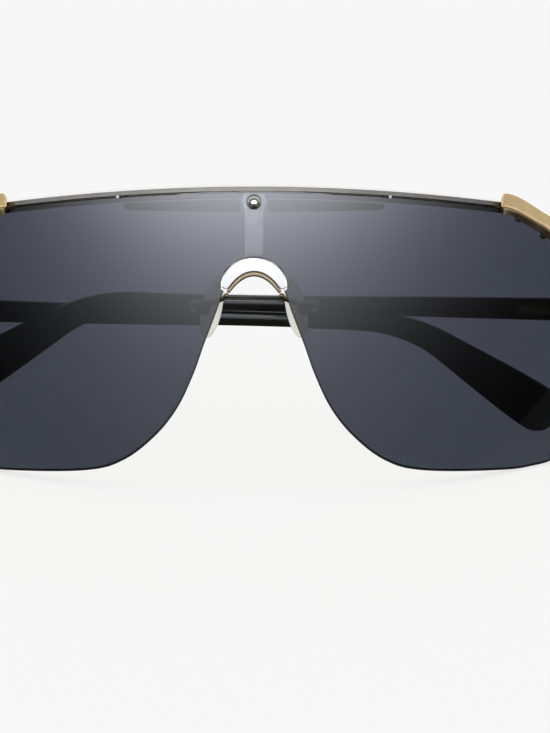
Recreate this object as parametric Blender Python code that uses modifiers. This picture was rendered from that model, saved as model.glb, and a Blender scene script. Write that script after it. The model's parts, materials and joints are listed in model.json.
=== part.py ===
"""One-piece shield sunglasses with a metal brow bar, standing folded on the lens and a temple tip.

Lengths are in metres and +Z is up. The frame is drawn upright, with the middle of the lens's front
face on the Y axis, the lens's lowest edge at height zero and the wearer's side at +Y. It is then
leaned back until it stands. Left and right are the wearer's, so left is +X.
"""

import math

import bmesh
import bpy
import numpy as np
from mathutils import Matrix, Vector

MM = 0.001

# Clearances, for pieces that touch and for fine seams that show
GAP = 0.3 * MM
SEAM = 0.12 * MM
OVERRUN = 4.0 * MM

# Lens
LENS_RADIUS = 118.0 * MM
LENS_THICKNESS = 2.0 * MM
LENS_HEIGHT = 62.4 * MM
LENS_HALF_WIDTH = 72.0 * MM
LENS_TOP_REACH_SHARE = 0.840
LENS_TOP_REACH = LENS_TOP_REACH_SHARE * LENS_HALF_WIDTH
LENS_TOP_DROP = 6.3 * MM
SHEET_STEPS = 60

# Side and foot of the lens, from the outer end of its top edge: shares of half width and of height
LENS_SIDE_SHARES = (
    (0.897, 0.860),
    (0.939, 0.816),
    (0.966, 0.760),
    (0.977, 0.690),
    (0.978, 0.610),
    (0.979, 0.510),
    (0.989, 0.400),
    (1.000, 0.290),
    (0.995, 0.168),
    (0.969, 0.070),
    (0.916, 0.016),
    (0.847, 0.002),
    (0.750, 0.000),
)

# Nose cut-out: the cusps, the flare below them and the arch above them
CUSP_HALF_WIDTH = 6.5 * MM
CUSP_HEIGHT_SHARE = 0.6635
CUSP_HEIGHT = CUSP_HEIGHT_SHARE * LENS_HEIGHT
FLARE_HALF_WIDTH_SHARE = 0.639
FLARE_HALF_WIDTH = FLARE_HALF_WIDTH_SHARE * LENS_HALF_WIDTH
FLARE_SHARES = (
    (0.750, 0.036),
    (0.545, 0.101),
    (0.372, 0.235),
    (0.250, 0.386),
    (0.162, 0.565),
    (0.106, 0.717),
    (0.035, 0.899),
)
ARCH_BULGE = 0.7 * MM
ARCH_HALF_WIDTH = CUSP_HALF_WIDTH + ARCH_BULGE
ARCH_LIFT = 2.2 * MM
ARCH_CENTRE_HEIGHT = CUSP_HEIGHT + ARCH_LIFT
ARCH_RISE = 5.0 * MM

# Brow bar, with a lip over the lens's top edge and a band behind it
BAR_REACH_SHARE = 0.722
BAR_REACH = BAR_REACH_SHARE * LENS_HALF_WIDTH
BAR_LIP_HEIGHT = 1.0 * MM
BAR_LIP_PROUD = 0.2 * MM
BAR_BAND_DEPTH = 1.4 * MM
BAR_THICKNESS = 1.2 * MM

# Stiffening plates under the band, and the claws at their outer ends
PLATE_REACH_SHARE = 0.531
PLATE_REACH = PLATE_REACH_SHARE * BAR_REACH
PLATE_DEPTH = 2.6 * MM
PLATE_CORNER = 1.1 * MM
CLAW_SPACE = 0.9 * MM
CLAW_REACH = PLATE_REACH + CLAW_SPACE
CLAW_WIDTH = 0.7 * MM
CLAW_DROP = 0.35 * MM
CLAW_OVERLAP = 0.3 * MM
CLAW_THICKNESS = 0.5 * MM

# Centre strut and its screw
STRUT_WIDTH = 3.9 * MM
STRUT_THICKNESS = 0.9 * MM
EYELET_RADIUS = 2.45 * MM
EYELET_DROP = 2.0 * MM
EYELET_HEIGHT = LENS_HEIGHT - EYELET_DROP
SCREW_RADIUS = 0.6 * MM
SCREW_HEAD_RADIUS = 1.1 * MM
SCREW_HEAD_HEIGHT = 0.55 * MM
SCREW_DOME_RADIUS = 0.7 * MM
SCREW_TAIL = 0.5 * MM
WASHER_RADIUS = 1.55 * MM
WASHER_THICKNESS = 0.45 * MM
REAR_WASHER_RADIUS = 1.9 * MM
NUT_RADIUS = 1.7 * MM
NUT_HEIGHT = 1.3 * MM

# Bridge: the pale crescent that fills the arch, and the arched rail under it
RAIL_LIFT = 1.4 * MM
RAIL_HEIGHT = ARCH_CENTRE_HEIGHT + RAIL_LIFT
RAIL_FOOT_INSET = 0.95 * MM
RAIL_FOOT_HALF_WIDTH = CUSP_HALF_WIDTH - RAIL_FOOT_INSET
RAIL_FOOT_DROP = 0.4 * MM
RAIL_FOOT_HEIGHT = CUSP_HEIGHT - RAIL_FOOT_DROP
RAIL_THICKNESS = 1.1 * MM
RAIL_FOOT_THICKNESS = 0.7 * MM
RAIL_FRONT = 0.2 * MM
RAIL_BACK = 4.6 * MM
RAIL_POWER = 2.1
SADDLE_PROUD = 0.25 * MM
SADDLE_BACK = 2.0 * MM
SADDLE_HORN_RADIUS = 0.53 * MM
SADDLE_HORN_INSET = 0.38 * MM
SADDLE_HORN_HALF_WIDTH = CUSP_HALF_WIDTH - SADDLE_HORN_INSET
SADDLE_HORN_DROP = 1.45 * MM
SADDLE_HORN_HEIGHT = ARCH_CENTRE_HEIGHT - SADDLE_HORN_DROP

# Nose pads: the pivot of each, its splay and its slant
PAD_PIVOT_OUT = 4.7 * MM
PAD_PIVOT_BACK = 7.6 * MM
PAD_PIVOT_DROP = 4.8 * MM
PAD_PIVOT_X = CUSP_HALF_WIDTH + PAD_PIVOT_OUT
PAD_PIVOT_Y = LENS_THICKNESS + PAD_PIVOT_BACK
PAD_PIVOT_Z = CUSP_HEIGHT - PAD_PIVOT_DROP
PAD_SPLAY = math.radians(32)
PAD_SLANT = math.radians(14)
PAD_HALF_WIDTH = 3.3 * MM
PAD_HALF_HEIGHT = 6.4 * MM
PAD_THICKNESS = 2.3 * MM
PAD_ROUNDING = 0.85 * MM
PAD_SEAT = 1.2 * MM
LUG_THICKNESS = 0.8 * MM
LUG_RADIUS = 0.95 * MM
LUG_FLANGE_RADIUS = 1.7 * MM
LUG_FLANGE_THICKNESS = 0.45 * MM
BOX_CHEEK = 0.6 * MM
BOX_HALF_HEIGHT = 1.4 * MM
BOX_FRONT = 0.35 * MM
BOX_BACK = 1.9 * MM
BOX_WEB = 0.6 * MM
PAD_SCREW_RADIUS = 0.35 * MM
PAD_SCREW_HEAD_RADIUS = 0.8 * MM
PAD_SCREW_HEAD_HEIGHT = 0.4 * MM
ARM_RADIUS = 0.55 * MM
ARM_FALL = 3.2 * MM
ARM_SPREAD = 2.0 * MM
ARM_LOOP = 2.7 * MM
ARM_STEPS = 17

# End pieces: a band along the lens's upper corner, and the block that carries the hinge. The
# band's middle is given in shares of the lens's half width and height
END_THICKNESS = 2.0 * MM
END_START_HALF_WIDTH = 2.3 * MM
END_HALF_WIDTH = 1.85 * MM
END_FLARE_SHARE = 0.35
END_ROUNDING = 1.1 * MM
END_PATH_SHARES = (
    (0.735, 0.9400),
    (0.757, 0.9365),
    (0.784, 0.9240),
    (0.811, 0.9060),
    (0.850, 0.8770),
    (0.890, 0.846),
    (0.953, 0.780),
    (0.989, 0.704),
    (1.006, 0.619),
    (1.008, 0.551),
    (1.008, 0.478),
)
BLOCK_SINK = 1.2 * MM
BLOCK_HALF_HEIGHT = 2.4 * MM
CLAMP_THICKNESS = 0.8 * MM
CLAMP_HALF_WIDTH = 1.25 * MM
CLAMP_DROP = 1.4 * MM
CLAMP_RUN_SHARES = (0.11, 0.44)
END_SCREW_SHARES = (0.19, 0.38)
END_SCREW_RADIUS = 0.45 * MM
END_SCREW_HEAD_RADIUS = 0.9 * MM
END_SCREW_HEAD_HEIGHT = 0.5 * MM
END_SCREW_GRIP = 1.0 * MM

# Hinges
PIVOT_INSET = 3.0 * MM
PIVOT_BEHIND = 5.65 * MM
PIVOT_HEIGHT_SHARE = 0.518
PIVOT_X = LENS_HALF_WIDTH - PIVOT_INSET
PIVOT_Z = PIVOT_HEIGHT_SHARE * LENS_HEIGHT
KNUCKLE_RADIUS = 1.6 * MM
KNUCKLE_HEIGHT = 1.4 * MM
HINGE_PIN_RADIUS = 0.65 * MM
HINGE_HEAD_RADIUS = 1.3 * MM
HINGE_HEAD_HEIGHT = 0.6 * MM
LEAF_THICKNESS = 0.8 * MM
TEMPLE_LEAF_LENGTH = 9.0 * MM
BUTT_GAP = 0.2 * MM
RIVET_RADIUS = 0.4 * MM
RIVET_HEAD_RADIUS = 0.8 * MM
RIVET_HEAD_HEIGHT = 0.4 * MM
RIVET_GRIP = 0.4 * MM
RIVET_SHARES = (0.42, 0.80)

# How the temples lie when folded: past or short of square, and rising or falling to the tip
FOLD = {1: math.radians(91.5), -1: math.radians(87.5)}
RISE = {1: math.radians(1.35), -1: math.radians(-2.1)}

# Temples, along their length from the pivot
TEMPLE_THICKNESS = 3.0 * MM
TEMPLE_CHAMFER = 0.7 * MM
TEMPLE_LENGTH_SHARE = 1.0377
TEMPLE_LENGTH = TEMPLE_LENGTH_SHARE * 2 * PIVOT_X
TEMPLE_BEND_START_SHARE = 0.656
TEMPLE_BEND_START = TEMPLE_BEND_START_SHARE * TEMPLE_LENGTH
TEMPLE_BEND_RADIUS = 34.0 * MM
TEMPLE_BEND = math.radians(32)
TEMPLE_TIP_ROUNDING = 6.4 * MM
TEMPLE_TIP_POWER = 2.1
TEMPLE_WIDTH = 10.6 * MM
TEMPLE_WIDTH_SHARES = (
    (0.00, 0.48),
    (0.20, 0.43),
    (0.47, 0.34),
    (0.63, 0.37),
    (0.71, 0.47),
    (0.78, 0.58),
    (0.86, 0.79),
    (0.93, 0.95),
    (1.00, 1.02),
)
CORE_RADIUS = 0.5 * MM
CORE_LENGTH_SHARE = 0.587
CORE_LENGTH = CORE_LENGTH_SHARE * TEMPLE_LENGTH
CORE_START = 1.0 * MM
CORE_INSET = 1.2 * MM

ROUND_STEPS = 24
SIDES = {"left": 1, "right": -1}

COLOURS = {
    "smoke_lens": ((0.045, 0.050, 0.066), 0.06, 0.0, 0.45),
    "pale_gold": ((0.78, 0.62, 0.40), 0.24, 1.0, 1.0),
    "bright_metal": ((0.92, 0.91, 0.89), 0.12, 1.0, 1.0),
    "steel": ((0.62, 0.61, 0.60), 0.25, 1.0, 1.0),
    "black_acetate": ((0.012, 0.012, 0.014), 0.12, 0.0, 1.0),
    "clear_silicone": ((0.86, 0.88, 0.88), 0.25, 0.0, 0.5),
}


# Scene, materials and placing

def clear_scene():
    """Empty the file, so that the part is all that it holds."""
    for obj in list(bpy.data.objects):
        bpy.data.objects.remove(obj, do_unlink=True)


def new_collection(name):
    """Make a collection in the scene."""
    collection = bpy.data.collections.new(name)
    bpy.context.scene.collection.children.link(collection)
    return collection


def material(name):
    """Make, or find, a material of the palette."""
    if name in bpy.data.materials:
        return bpy.data.materials[name]
    colour, roughness, metallic, alpha = COLOURS[name]
    made = bpy.data.materials.new(name)
    made.use_nodes = True
    shader = made.node_tree.nodes["Principled BSDF"]
    shader.inputs["Base Color"].default_value = (*colour, 1.0)
    shader.inputs["Roughness"].default_value = roughness
    shader.inputs["Metallic"].default_value = metallic
    shader.inputs["Alpha"].default_value = alpha
    return made


def empty(name, matrix, parent=None):
    """Add an empty that pieces hang on, placed by its matrix under its parent."""
    holder = bpy.data.objects.new(name, None)
    PARTS.objects.link(holder)
    holder.parent = parent
    holder.matrix_local = matrix
    return holder


def keep(obj, parent, finish):
    """Put a finished piece among the parts, under its parent and with its finish."""
    PARTS.objects.link(obj)
    obj.parent = parent
    obj.data.materials.clear()
    obj.data.materials.append(material(finish))
    return obj


def as_cutter(obj, parent):
    """Keep a shape for cutting only."""
    CUTTERS.objects.link(obj)
    obj.parent = parent
    obj.hide_render = True
    obj.display_type = "WIRE"
    return obj


def boolean(obj, other, operation):
    """Cut, join or trim a piece with another."""
    modifier = obj.modifiers.new(operation.title() + " " + other.name, "BOOLEAN")
    modifier.operation = operation
    modifier.object = other
    modifier.solver = "EXACT"
    return obj


# Basic shapes

def mesh_object(name, build):
    """Make an object whose mesh is built by a function of a bmesh."""
    mesh = bpy.data.meshes.new(name)
    work = bmesh.new()
    build(work)
    bmesh.ops.remove_doubles(work, verts=work.verts, dist=SEAM * SEAM / MM)
    bmesh.ops.recalc_face_normals(work, faces=work.faces)
    work.to_mesh(mesh)
    work.free()
    return bpy.data.objects.new(name, mesh)


def smooth(obj):
    """Shade the round faces smooth and keep the sharp edges."""
    obj.data.shade_smooth()
    obj.data.set_sharp_from_angle(angle=math.radians(30))
    return obj


def block(name, low, high):
    """A box between two corners."""
    size = [b - a for a, b in zip(low, high)]
    middle = [(a + b) / 2 for a, b in zip(low, high)]
    matrix = Matrix.Translation(middle) @ Matrix.Diagonal((*size, 1))
    return mesh_object(name, lambda work: bmesh.ops.create_cube(work, size=1, matrix=matrix))


def rod(name, start, end, radius, end_radius=None, steps=ROUND_STEPS):
    """A round bar or cone between two points."""
    start, end = Vector(start), Vector(end)
    along = end - start
    turn = along.to_track_quat("Z", "Y").to_matrix().to_4x4()
    matrix = Matrix.Translation((start + end) / 2) @ turn
    last = radius if end_radius is None else end_radius

    def build(work):
        bmesh.ops.create_cone(
            work, cap_ends=True, segments=steps, radius1=radius, radius2=last,
            depth=along.length, matrix=matrix,
        )

    return smooth(mesh_object(name, build))


def applied(obj):
    """Turn a curve or a modified object into a plain welded mesh object of the same name."""
    bpy.context.scene.collection.objects.link(obj)
    bpy.context.view_layer.update()
    graph = bpy.context.evaluated_depsgraph_get()
    mesh = bpy.data.meshes.new_from_object(obj.evaluated_get(graph))
    mesh.transform(obj.matrix_world)
    work = bmesh.new()
    work.from_mesh(mesh)
    bmesh.ops.remove_doubles(work, verts=work.verts, dist=SEAM * SEAM / MM)
    bmesh.ops.recalc_face_normals(work, faces=work.faces)
    work.to_mesh(mesh)
    work.free()
    name = obj.name
    bpy.data.objects.remove(obj, do_unlink=True)
    made = bpy.data.objects.new(name, mesh)
    mesh.name = name
    return made


def plate(name, outline, front, back, matrix=None):
    """A flat outline, given as points across and up, thickened from a front to a back."""
    curve = bpy.data.curves.new(name, "CURVE")
    curve.dimensions = "2D"
    curve.fill_mode = "BOTH"
    curve.extrude = (back - front) / 2
    spline = curve.splines.new("POLY")
    spline.points.add(len(outline) - 1)
    for point, (across, up) in zip(spline.points, outline):
        point.co = (across, up, 0, 1)
    spline.use_cyclic_u = True
    obj = bpy.data.objects.new(name, curve)
    turn = Matrix.Translation((0, (front + back) / 2, 0)) @ Matrix.Rotation(math.pi / 2, 4, "X")
    obj.matrix_world = turn if matrix is None else matrix @ turn
    return applied(obj)


def wire(name, points, radius):
    """A round wire through points, with flat ends."""
    curve = bpy.data.curves.new(name, "CURVE")
    curve.dimensions = "3D"
    curve.bevel_depth = radius
    curve.bevel_resolution = 2
    curve.use_fill_caps = True
    spline = curve.splines.new("POLY")
    spline.points.add(len(points) - 1)
    for point, place in zip(spline.points, points):
        point.co = (*place, 1)
    return smooth(applied(bpy.data.objects.new(name, curve)))


def curved_sheet(name, offset, thickness, low, high, reach):
    """A wall bent about the lens's axis, whose front lies at an offset behind the lens's front."""
    front = LENS_RADIUS - offset
    half_turn = math.asin(reach / front)
    start = -math.pi / 2 - half_turn
    across, along = front * math.cos(start), front * math.sin(start)
    mesh = bpy.data.meshes.new(name)
    mesh.from_pydata([(across, along, high), (across, along, low)], [(0, 1)], [])
    obj = bpy.data.objects.new(name, mesh)
    obj.location = (0, LENS_RADIUS, 0)
    screw = obj.modifiers.new("Bend", "SCREW")
    screw.angle = 2 * half_turn
    screw.steps = SHEET_STEPS
    screw.render_steps = SHEET_STEPS
    screw.use_merge_vertices = False
    screw.use_normal_calculate = True
    wall = obj.modifiers.new("Wall", "SOLIDIFY")
    wall.thickness = thickness
    wall.offset = -1
    wall.use_even_offset = True
    return applied(obj)


def sheet_depth(across, offset=0):
    """How far behind the middle of the lens's front a bent sheet lies, at a distance across."""
    return LENS_RADIUS - math.sqrt((LENS_RADIUS - offset) ** 2 - across ** 2)


def pivot_depth():
    """How far behind the middle of the lens's front the hinges' axes lie."""
    return sheet_depth(PIVOT_X, LENS_THICKNESS) + PIVOT_BEHIND


# Curves

def through(points, steps):
    """Points along a smooth Catmull-Rom curve through the given ones."""
    given = np.array(points, float)
    ends = np.vstack([2 * given[0] - given[1], given, 2 * given[-1] - given[-2]])
    share = (np.arange(steps) / steps)[:, None]
    runs = []
    for before, start, end, after in zip(ends, ends[1:], ends[2:], ends[3:]):
        runs.append(
            0.5 * (2 * start + (end - before) * share
                   + (2 * before - 5 * start + 4 * end - after) * share ** 2
                   + (3 * start - before - 3 * end + after) * share ** 3)
        )
    return np.vstack([*runs, given[-1:]])


def across_path(path):
    """Unit vectors square to a flat path, to its left."""
    along = np.gradient(path, axis=0)
    along /= np.linalg.norm(along, axis=1)[:, None]
    return np.column_stack([-along[:, 1], along[:, 0]])


def ribbon(path, half_widths):
    """The closed outline of a flat ribbon along a path."""
    aside = across_path(path) * np.asarray(half_widths)[:, None]
    return np.vstack([path + aside, (path - aside)[::-1]])


def mirrored(half):
    """A closed outline from its half at +X, whose two ends lie on the mirror line."""
    half = np.asarray(half)
    other = half[-2:0:-1] * np.array([-1, 1])
    return np.vstack([half, other])


def rounded_widths(distances, length, half_width, rounding, power=2.6):
    """Half widths of a ribbon whose two ends close in a full curve."""
    inner = np.clip((distances - (length - rounding)) / rounding, 0, 1)
    outer = np.clip((rounding - distances) / rounding, 0, 1)
    closing = (1 - np.maximum(inner, outer) ** power) ** (1 / power)
    return half_width * closing


def run_lengths(path):
    """The distance along a path to each of its points."""
    steps = np.linalg.norm(np.diff(path, axis=0), axis=1)
    return np.concatenate([[0], np.cumsum(steps)])


# Lens and brow

def top_edge(across):
    """Height of the lens's top edge."""
    return LENS_HEIGHT - LENS_TOP_DROP * (across / LENS_TOP_REACH) ** 2


def lens_outline():
    """The lens seen from the front: top edge, side, foot, nose flare and arch."""
    tops = [(x, top_edge(x)) for x in np.linspace(0, LENS_TOP_REACH, 12)]
    side = [(a * LENS_HALF_WIDTH, b * LENS_HEIGHT) for a, b in LENS_SIDE_SHARES]
    flare_width = FLARE_HALF_WIDTH - CUSP_HALF_WIDTH
    flare = [(CUSP_HALF_WIDTH + a * flare_width, b * CUSP_HEIGHT) for a, b in FLARE_SHARES]
    cusp = (CUSP_HALF_WIDTH, CUSP_HEIGHT)
    rim = through([tops[-1], *side, *flare, cusp], 3)
    turns = np.linspace(math.radians(-12), math.pi / 2, 12)
    arch = np.column_stack([
        ARCH_HALF_WIDTH * np.cos(turns),
        ARCH_CENTRE_HEIGHT + ARCH_RISE * np.sin(turns),
    ])
    arch[-1, 0] = 0
    return mirrored(np.vstack([tops[:-1], rim, arch]))


def make_lens(frame):
    """The lens: a bent sheet trimmed to its outline and drilled for its screws."""
    lens = curved_sheet(
        "shield_lens", 0, LENS_THICKNESS, -OVERRUN, LENS_HEIGHT + OVERRUN, LENS_HALF_WIDTH + OVERRUN
    )
    depth = sheet_depth(LENS_HALF_WIDTH + OVERRUN, LENS_THICKNESS)
    trim = as_cutter(plate("lens_trim", lens_outline(), -OVERRUN, depth + OVERRUN), frame)
    boolean(lens, trim, "INTERSECT")
    hole = rod(
        "centre_drill", (0, -OVERRUN, EYELET_HEIGHT), (0, LENS_THICKNESS + OVERRUN, EYELET_HEIGHT),
        SCREW_RADIUS + GAP,
    )
    boolean(lens, as_cutter(hole, frame), "DIFFERENCE")
    for side in SIDES.values():
        for number, share in enumerate(END_SCREW_SHARES):
            place, inward = end_screw_place(side, share)
            drill = rod(
                f"end_drill_{number}", place - inward * OVERRUN, place + inward * OVERRUN,
                END_SCREW_RADIUS + GAP,
            )
            boolean(lens, as_cutter(drill, frame), "DIFFERENCE")
    return keep(smooth(lens), frame, "smoke_lens")


def bar_strip(name, low, high, offset, thickness, reach, frame):
    """A bent strip that follows the lens's top edge between two heights above it."""
    places = np.linspace(-reach, reach, 41)
    edge = top_edge(places)
    outline = np.vstack([
        np.column_stack([places, edge + high]),
        np.column_stack([places[::-1], edge[::-1] + low]),
    ])
    strip = curved_sheet(
        name, offset, thickness, LENS_HEIGHT / 2, LENS_HEIGHT + OVERRUN, reach + OVERRUN
    )
    depth = sheet_depth(reach + OVERRUN, offset + thickness)
    trim = as_cutter(plate(name + "_trim", outline, -OVERRUN, depth + OVERRUN), frame)
    return boolean(strip, trim, "INTERSECT")


def make_brow_bar(frame):
    """The brow bar: its band behind the lens and its lip over the lens's top edge."""
    rear = LENS_THICKNESS + GAP
    bar = bar_strip(
        "brow_bar", -BAR_BAND_DEPTH, GAP + BAR_LIP_HEIGHT, rear, BAR_THICKNESS, BAR_REACH, frame
    )
    lip = bar_strip(
        "bar_lip", GAP, GAP + BAR_LIP_HEIGHT, -BAR_LIP_PROUD,
        BAR_LIP_PROUD + rear + BAR_THICKNESS / 2, BAR_REACH, frame,
    )
    boolean(bar, as_cutter(lip, frame), "UNION")
    notch = rod(
        "eyelet_notch", (0, rear - SEAM, EYELET_HEIGHT), (0, rear + OVERRUN, EYELET_HEIGHT),
        EYELET_RADIUS + GAP,
    )
    below = block(
        "lip_guard", (-OVERRUN, -OVERRUN, EYELET_HEIGHT - OVERRUN),
        (OVERRUN, rear + OVERRUN, LENS_HEIGHT + GAP),
    )
    as_cutter(below, frame)
    boolean(as_cutter(notch, frame), below, "INTERSECT")
    boolean(bar, notch, "DIFFERENCE")
    return keep(smooth(bar), frame, "pale_gold")


def make_brow_plate(label, side, frame):
    """A stiffening plate under the band, from beside the eyelet to the claw."""
    inner = EYELET_RADIUS + GAP + SEAM
    corner = PLATE_CORNER
    turns = np.linspace(0, math.pi / 2, 7)
    places = np.linspace(inner, PLATE_REACH, 12)
    edge = top_edge(places) - BAR_BAND_DEPTH - GAP
    foot = edge[0] - PLATE_DEPTH
    lower = np.column_stack([
        PLATE_REACH - corner + corner * np.sin(turns),
        foot + corner - corner * np.cos(turns),
    ])
    outline = np.vstack([np.column_stack([places, edge]), lower[::-1], [[inner, foot]]])
    outline[:, 0] *= side
    offset = LENS_THICKNESS + GAP
    made = curved_sheet(
        f"brow_plate_{label}", offset, BAR_THICKNESS, LENS_HEIGHT / 2, LENS_HEIGHT, PLATE_REACH + OVERRUN
    )
    trim = plate(f"brow_plate_trim_{label}", outline, -OVERRUN, sheet_depth(PLATE_REACH) + 2 * OVERRUN)
    boolean(made, as_cutter(trim, frame), "INTERSECT")
    return keep(smooth(made), frame, "pale_gold")


def make_claw(label, side, frame):
    """A small prong that hooks over the lens's top edge in front of the bar's lip."""
    low, high = CLAW_REACH, CLAW_REACH + CLAW_WIDTH
    outline = np.array([
        (low, top_edge(low) - CLAW_DROP),
        (high, top_edge(high) - CLAW_DROP),
        (high, top_edge(high) + GAP + CLAW_OVERLAP),
        (low, top_edge(low) + GAP + CLAW_OVERLAP),
    ]) * np.array([side, 1])
    made = curved_sheet(
        f"brow_claw_{label}", -(BAR_LIP_PROUD + GAP + CLAW_THICKNESS), CLAW_THICKNESS,
        LENS_HEIGHT / 2, LENS_HEIGHT + OVERRUN, CLAW_REACH + OVERRUN,
    )
    trim = plate(f"claw_trim_{label}", outline, -2 * OVERRUN, sheet_depth(CLAW_REACH) + OVERRUN)
    boolean(made, as_cutter(trim, frame), "INTERSECT")
    return keep(smooth(made), frame, "bright_metal")


# Centre strut, screw and bridge

def make_strut(frame):
    """The flat strut behind the lens, with the eyelet for the screw at its head."""
    front = LENS_THICKNESS + GAP
    foot = RAIL_HEIGHT + RAIL_THICKNESS / 2 + GAP
    half = STRUT_WIDTH / 2
    start = math.acos(half / EYELET_RADIUS)
    flat = math.asin((LENS_HEIGHT - GAP - EYELET_HEIGHT) / EYELET_RADIUS)
    turns = np.linspace(-start, flat, 10)
    right = np.column_stack([
        EYELET_RADIUS * np.cos(turns), EYELET_HEIGHT + EYELET_RADIUS * np.sin(turns)
    ])
    outline = np.vstack([[[half, foot]], right, (right * [-1, 1])[::-1], [[-half, foot]]])
    strut = plate("centre_strut", outline, front, front + STRUT_THICKNESS)
    hole = rod(
        "strut_drill", (0, 0, EYELET_HEIGHT), (0, front + OVERRUN, EYELET_HEIGHT), SCREW_RADIUS + GAP
    )
    boolean(strut, as_cutter(hole, frame), "DIFFERENCE")
    return keep(smooth(strut), frame, "bright_metal")


def turned(name, profile, height, frame, finish, steps=ROUND_STEPS):
    """A turned piece on the centre screw's axis, from its profile of radius and depth."""
    mesh = bpy.data.meshes.new(name)
    points = [(radius, 0, -depth) for radius, depth in profile]
    mesh.from_pydata(points, [(i, i + 1) for i in range(len(points) - 1)], [])
    obj = bpy.data.objects.new(name, mesh)
    screw = obj.modifiers.new("Turn", "SCREW")
    screw.steps = steps
    screw.render_steps = steps
    screw.use_merge_vertices = True
    screw.merge_threshold = SEAM * SEAM / MM
    obj.matrix_world = Matrix.Translation((0, 0, height)) @ Matrix.Rotation(math.pi / 2, 4, "X")
    return keep(smooth(applied(obj)), frame, finish)


def make_centre_screw(frame):
    """The screw with its domed head, its washers and its nut."""
    seat = GAP + WASHER_THICKNESS + GAP
    rear = LENS_THICKNESS + GAP + STRUT_THICKNESS + GAP
    nut_front = rear + WASHER_THICKNESS + GAP
    tail = nut_front + NUT_HEIGHT + SCREW_TAIL
    crown = seat + SCREW_HEAD_HEIGHT
    top = crown + SCREW_HEAD_HEIGHT * 0.45
    turned("centre_screw", [
        (0, -top), (SCREW_DOME_RADIUS * 0.6, -top + SEAM), (SCREW_DOME_RADIUS, -crown),
        (SCREW_HEAD_RADIUS, -seat - SEAM), (SCREW_HEAD_RADIUS, -seat), (SCREW_RADIUS, -seat),
        (SCREW_RADIUS, tail), (0, tail),
    ], EYELET_HEIGHT, frame, "bright_metal")
    bore = SCREW_RADIUS + GAP
    turned("front_washer", [
        (bore, -seat + GAP), (WASHER_RADIUS - SEAM, -seat + GAP), (WASHER_RADIUS, -seat + GAP + SEAM),
        (WASHER_RADIUS, -GAP), (bore, -GAP), (bore, -seat + GAP),
    ], EYELET_HEIGHT, frame, "bright_metal")
    turned("rear_washer", [
        (bore, rear), (REAR_WASHER_RADIUS, rear), (REAR_WASHER_RADIUS, rear + WASHER_THICKNESS),
        (bore, rear + WASHER_THICKNESS), (bore, rear),
    ], EYELET_HEIGHT, frame, "steel")
    nut = rod(
        "centre_nut", (0, nut_front, EYELET_HEIGHT), (0, nut_front + NUT_HEIGHT, EYELET_HEIGHT),
        NUT_RADIUS, steps=6,
    )
    hole = rod(
        "nut_thread", (0, nut_front - OVERRUN, EYELET_HEIGHT), (0, tail + OVERRUN, EYELET_HEIGHT), bore
    )
    boolean(nut, as_cutter(hole, frame), "DIFFERENCE")
    keep(nut, frame, "steel")


def rail_path():
    """The middle of the arched rail, from one foot over the top to the other."""
    places = np.linspace(-1, 1, 25)
    rise = RAIL_HEIGHT - RAIL_FOOT_HEIGHT
    return np.column_stack([
        RAIL_FOOT_HALF_WIDTH * places, RAIL_HEIGHT - rise * np.abs(places) ** RAIL_POWER
    ])


def rail_half_widths():
    """Half the rail's thickness along its arch, which thins towards the feet."""
    places = np.linspace(-1, 1, 25)
    return (RAIL_THICKNESS - (RAIL_THICKNESS - RAIL_FOOT_THICKNESS) * places ** 2) / 2


def make_bridge(frame):
    """The arched rail, and the pale crescent between it and the lens's arch."""
    path = rail_path()
    half_widths = rail_half_widths()
    rail = plate("bridge_rail", ribbon(path, half_widths), RAIL_FRONT, RAIL_BACK)
    keep(smooth(rail), frame, "pale_gold")
    turns = np.linspace(0, math.pi / 2, 11)
    upper = np.column_stack([
        (ARCH_HALF_WIDTH - SEAM) * np.cos(turns),
        ARCH_CENTRE_HEIGHT + (ARCH_RISE - SEAM) * np.sin(turns),
    ])
    upper[-1, 0] = 0
    horn_turns = np.linspace(-math.pi * 0.78, -math.pi * 0.08, 6)
    horn = np.column_stack([
        SADDLE_HORN_HALF_WIDTH + SADDLE_HORN_RADIUS * np.cos(horn_turns),
        SADDLE_HORN_HEIGHT + SADDLE_HORN_RADIUS * np.sin(horn_turns),
    ])
    above = path + across_path(path) * (half_widths + SEAM)[:, None]
    inner = above[(above[:, 0] > 0) & (above[:, 1] > SADDLE_HORN_HEIGHT)]
    start = [[0, RAIL_HEIGHT + RAIL_THICKNESS / 2 + SEAM]]
    half = np.vstack([start, inner, horn, upper])
    saddle = plate("bridge_saddle", mirrored(half), -SADDLE_PROUD, SADDLE_BACK)
    keep(smooth(saddle), frame, "bright_metal")


# Nose pads

def pad_matrix(side):
    """The pad's own axes: its X faces the nose, its Y is the rocking axis, its Z is up."""
    turn = math.pi / 2 + side * (math.pi / 2 - PAD_SPLAY)
    place = Matrix.Translation((side * PAD_PIVOT_X, PAD_PIVOT_Y, PAD_PIVOT_Z))
    return place @ Matrix.Rotation(turn, 4, "Z") @ Matrix.Rotation(PAD_SLANT, 4, "Y")


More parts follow.
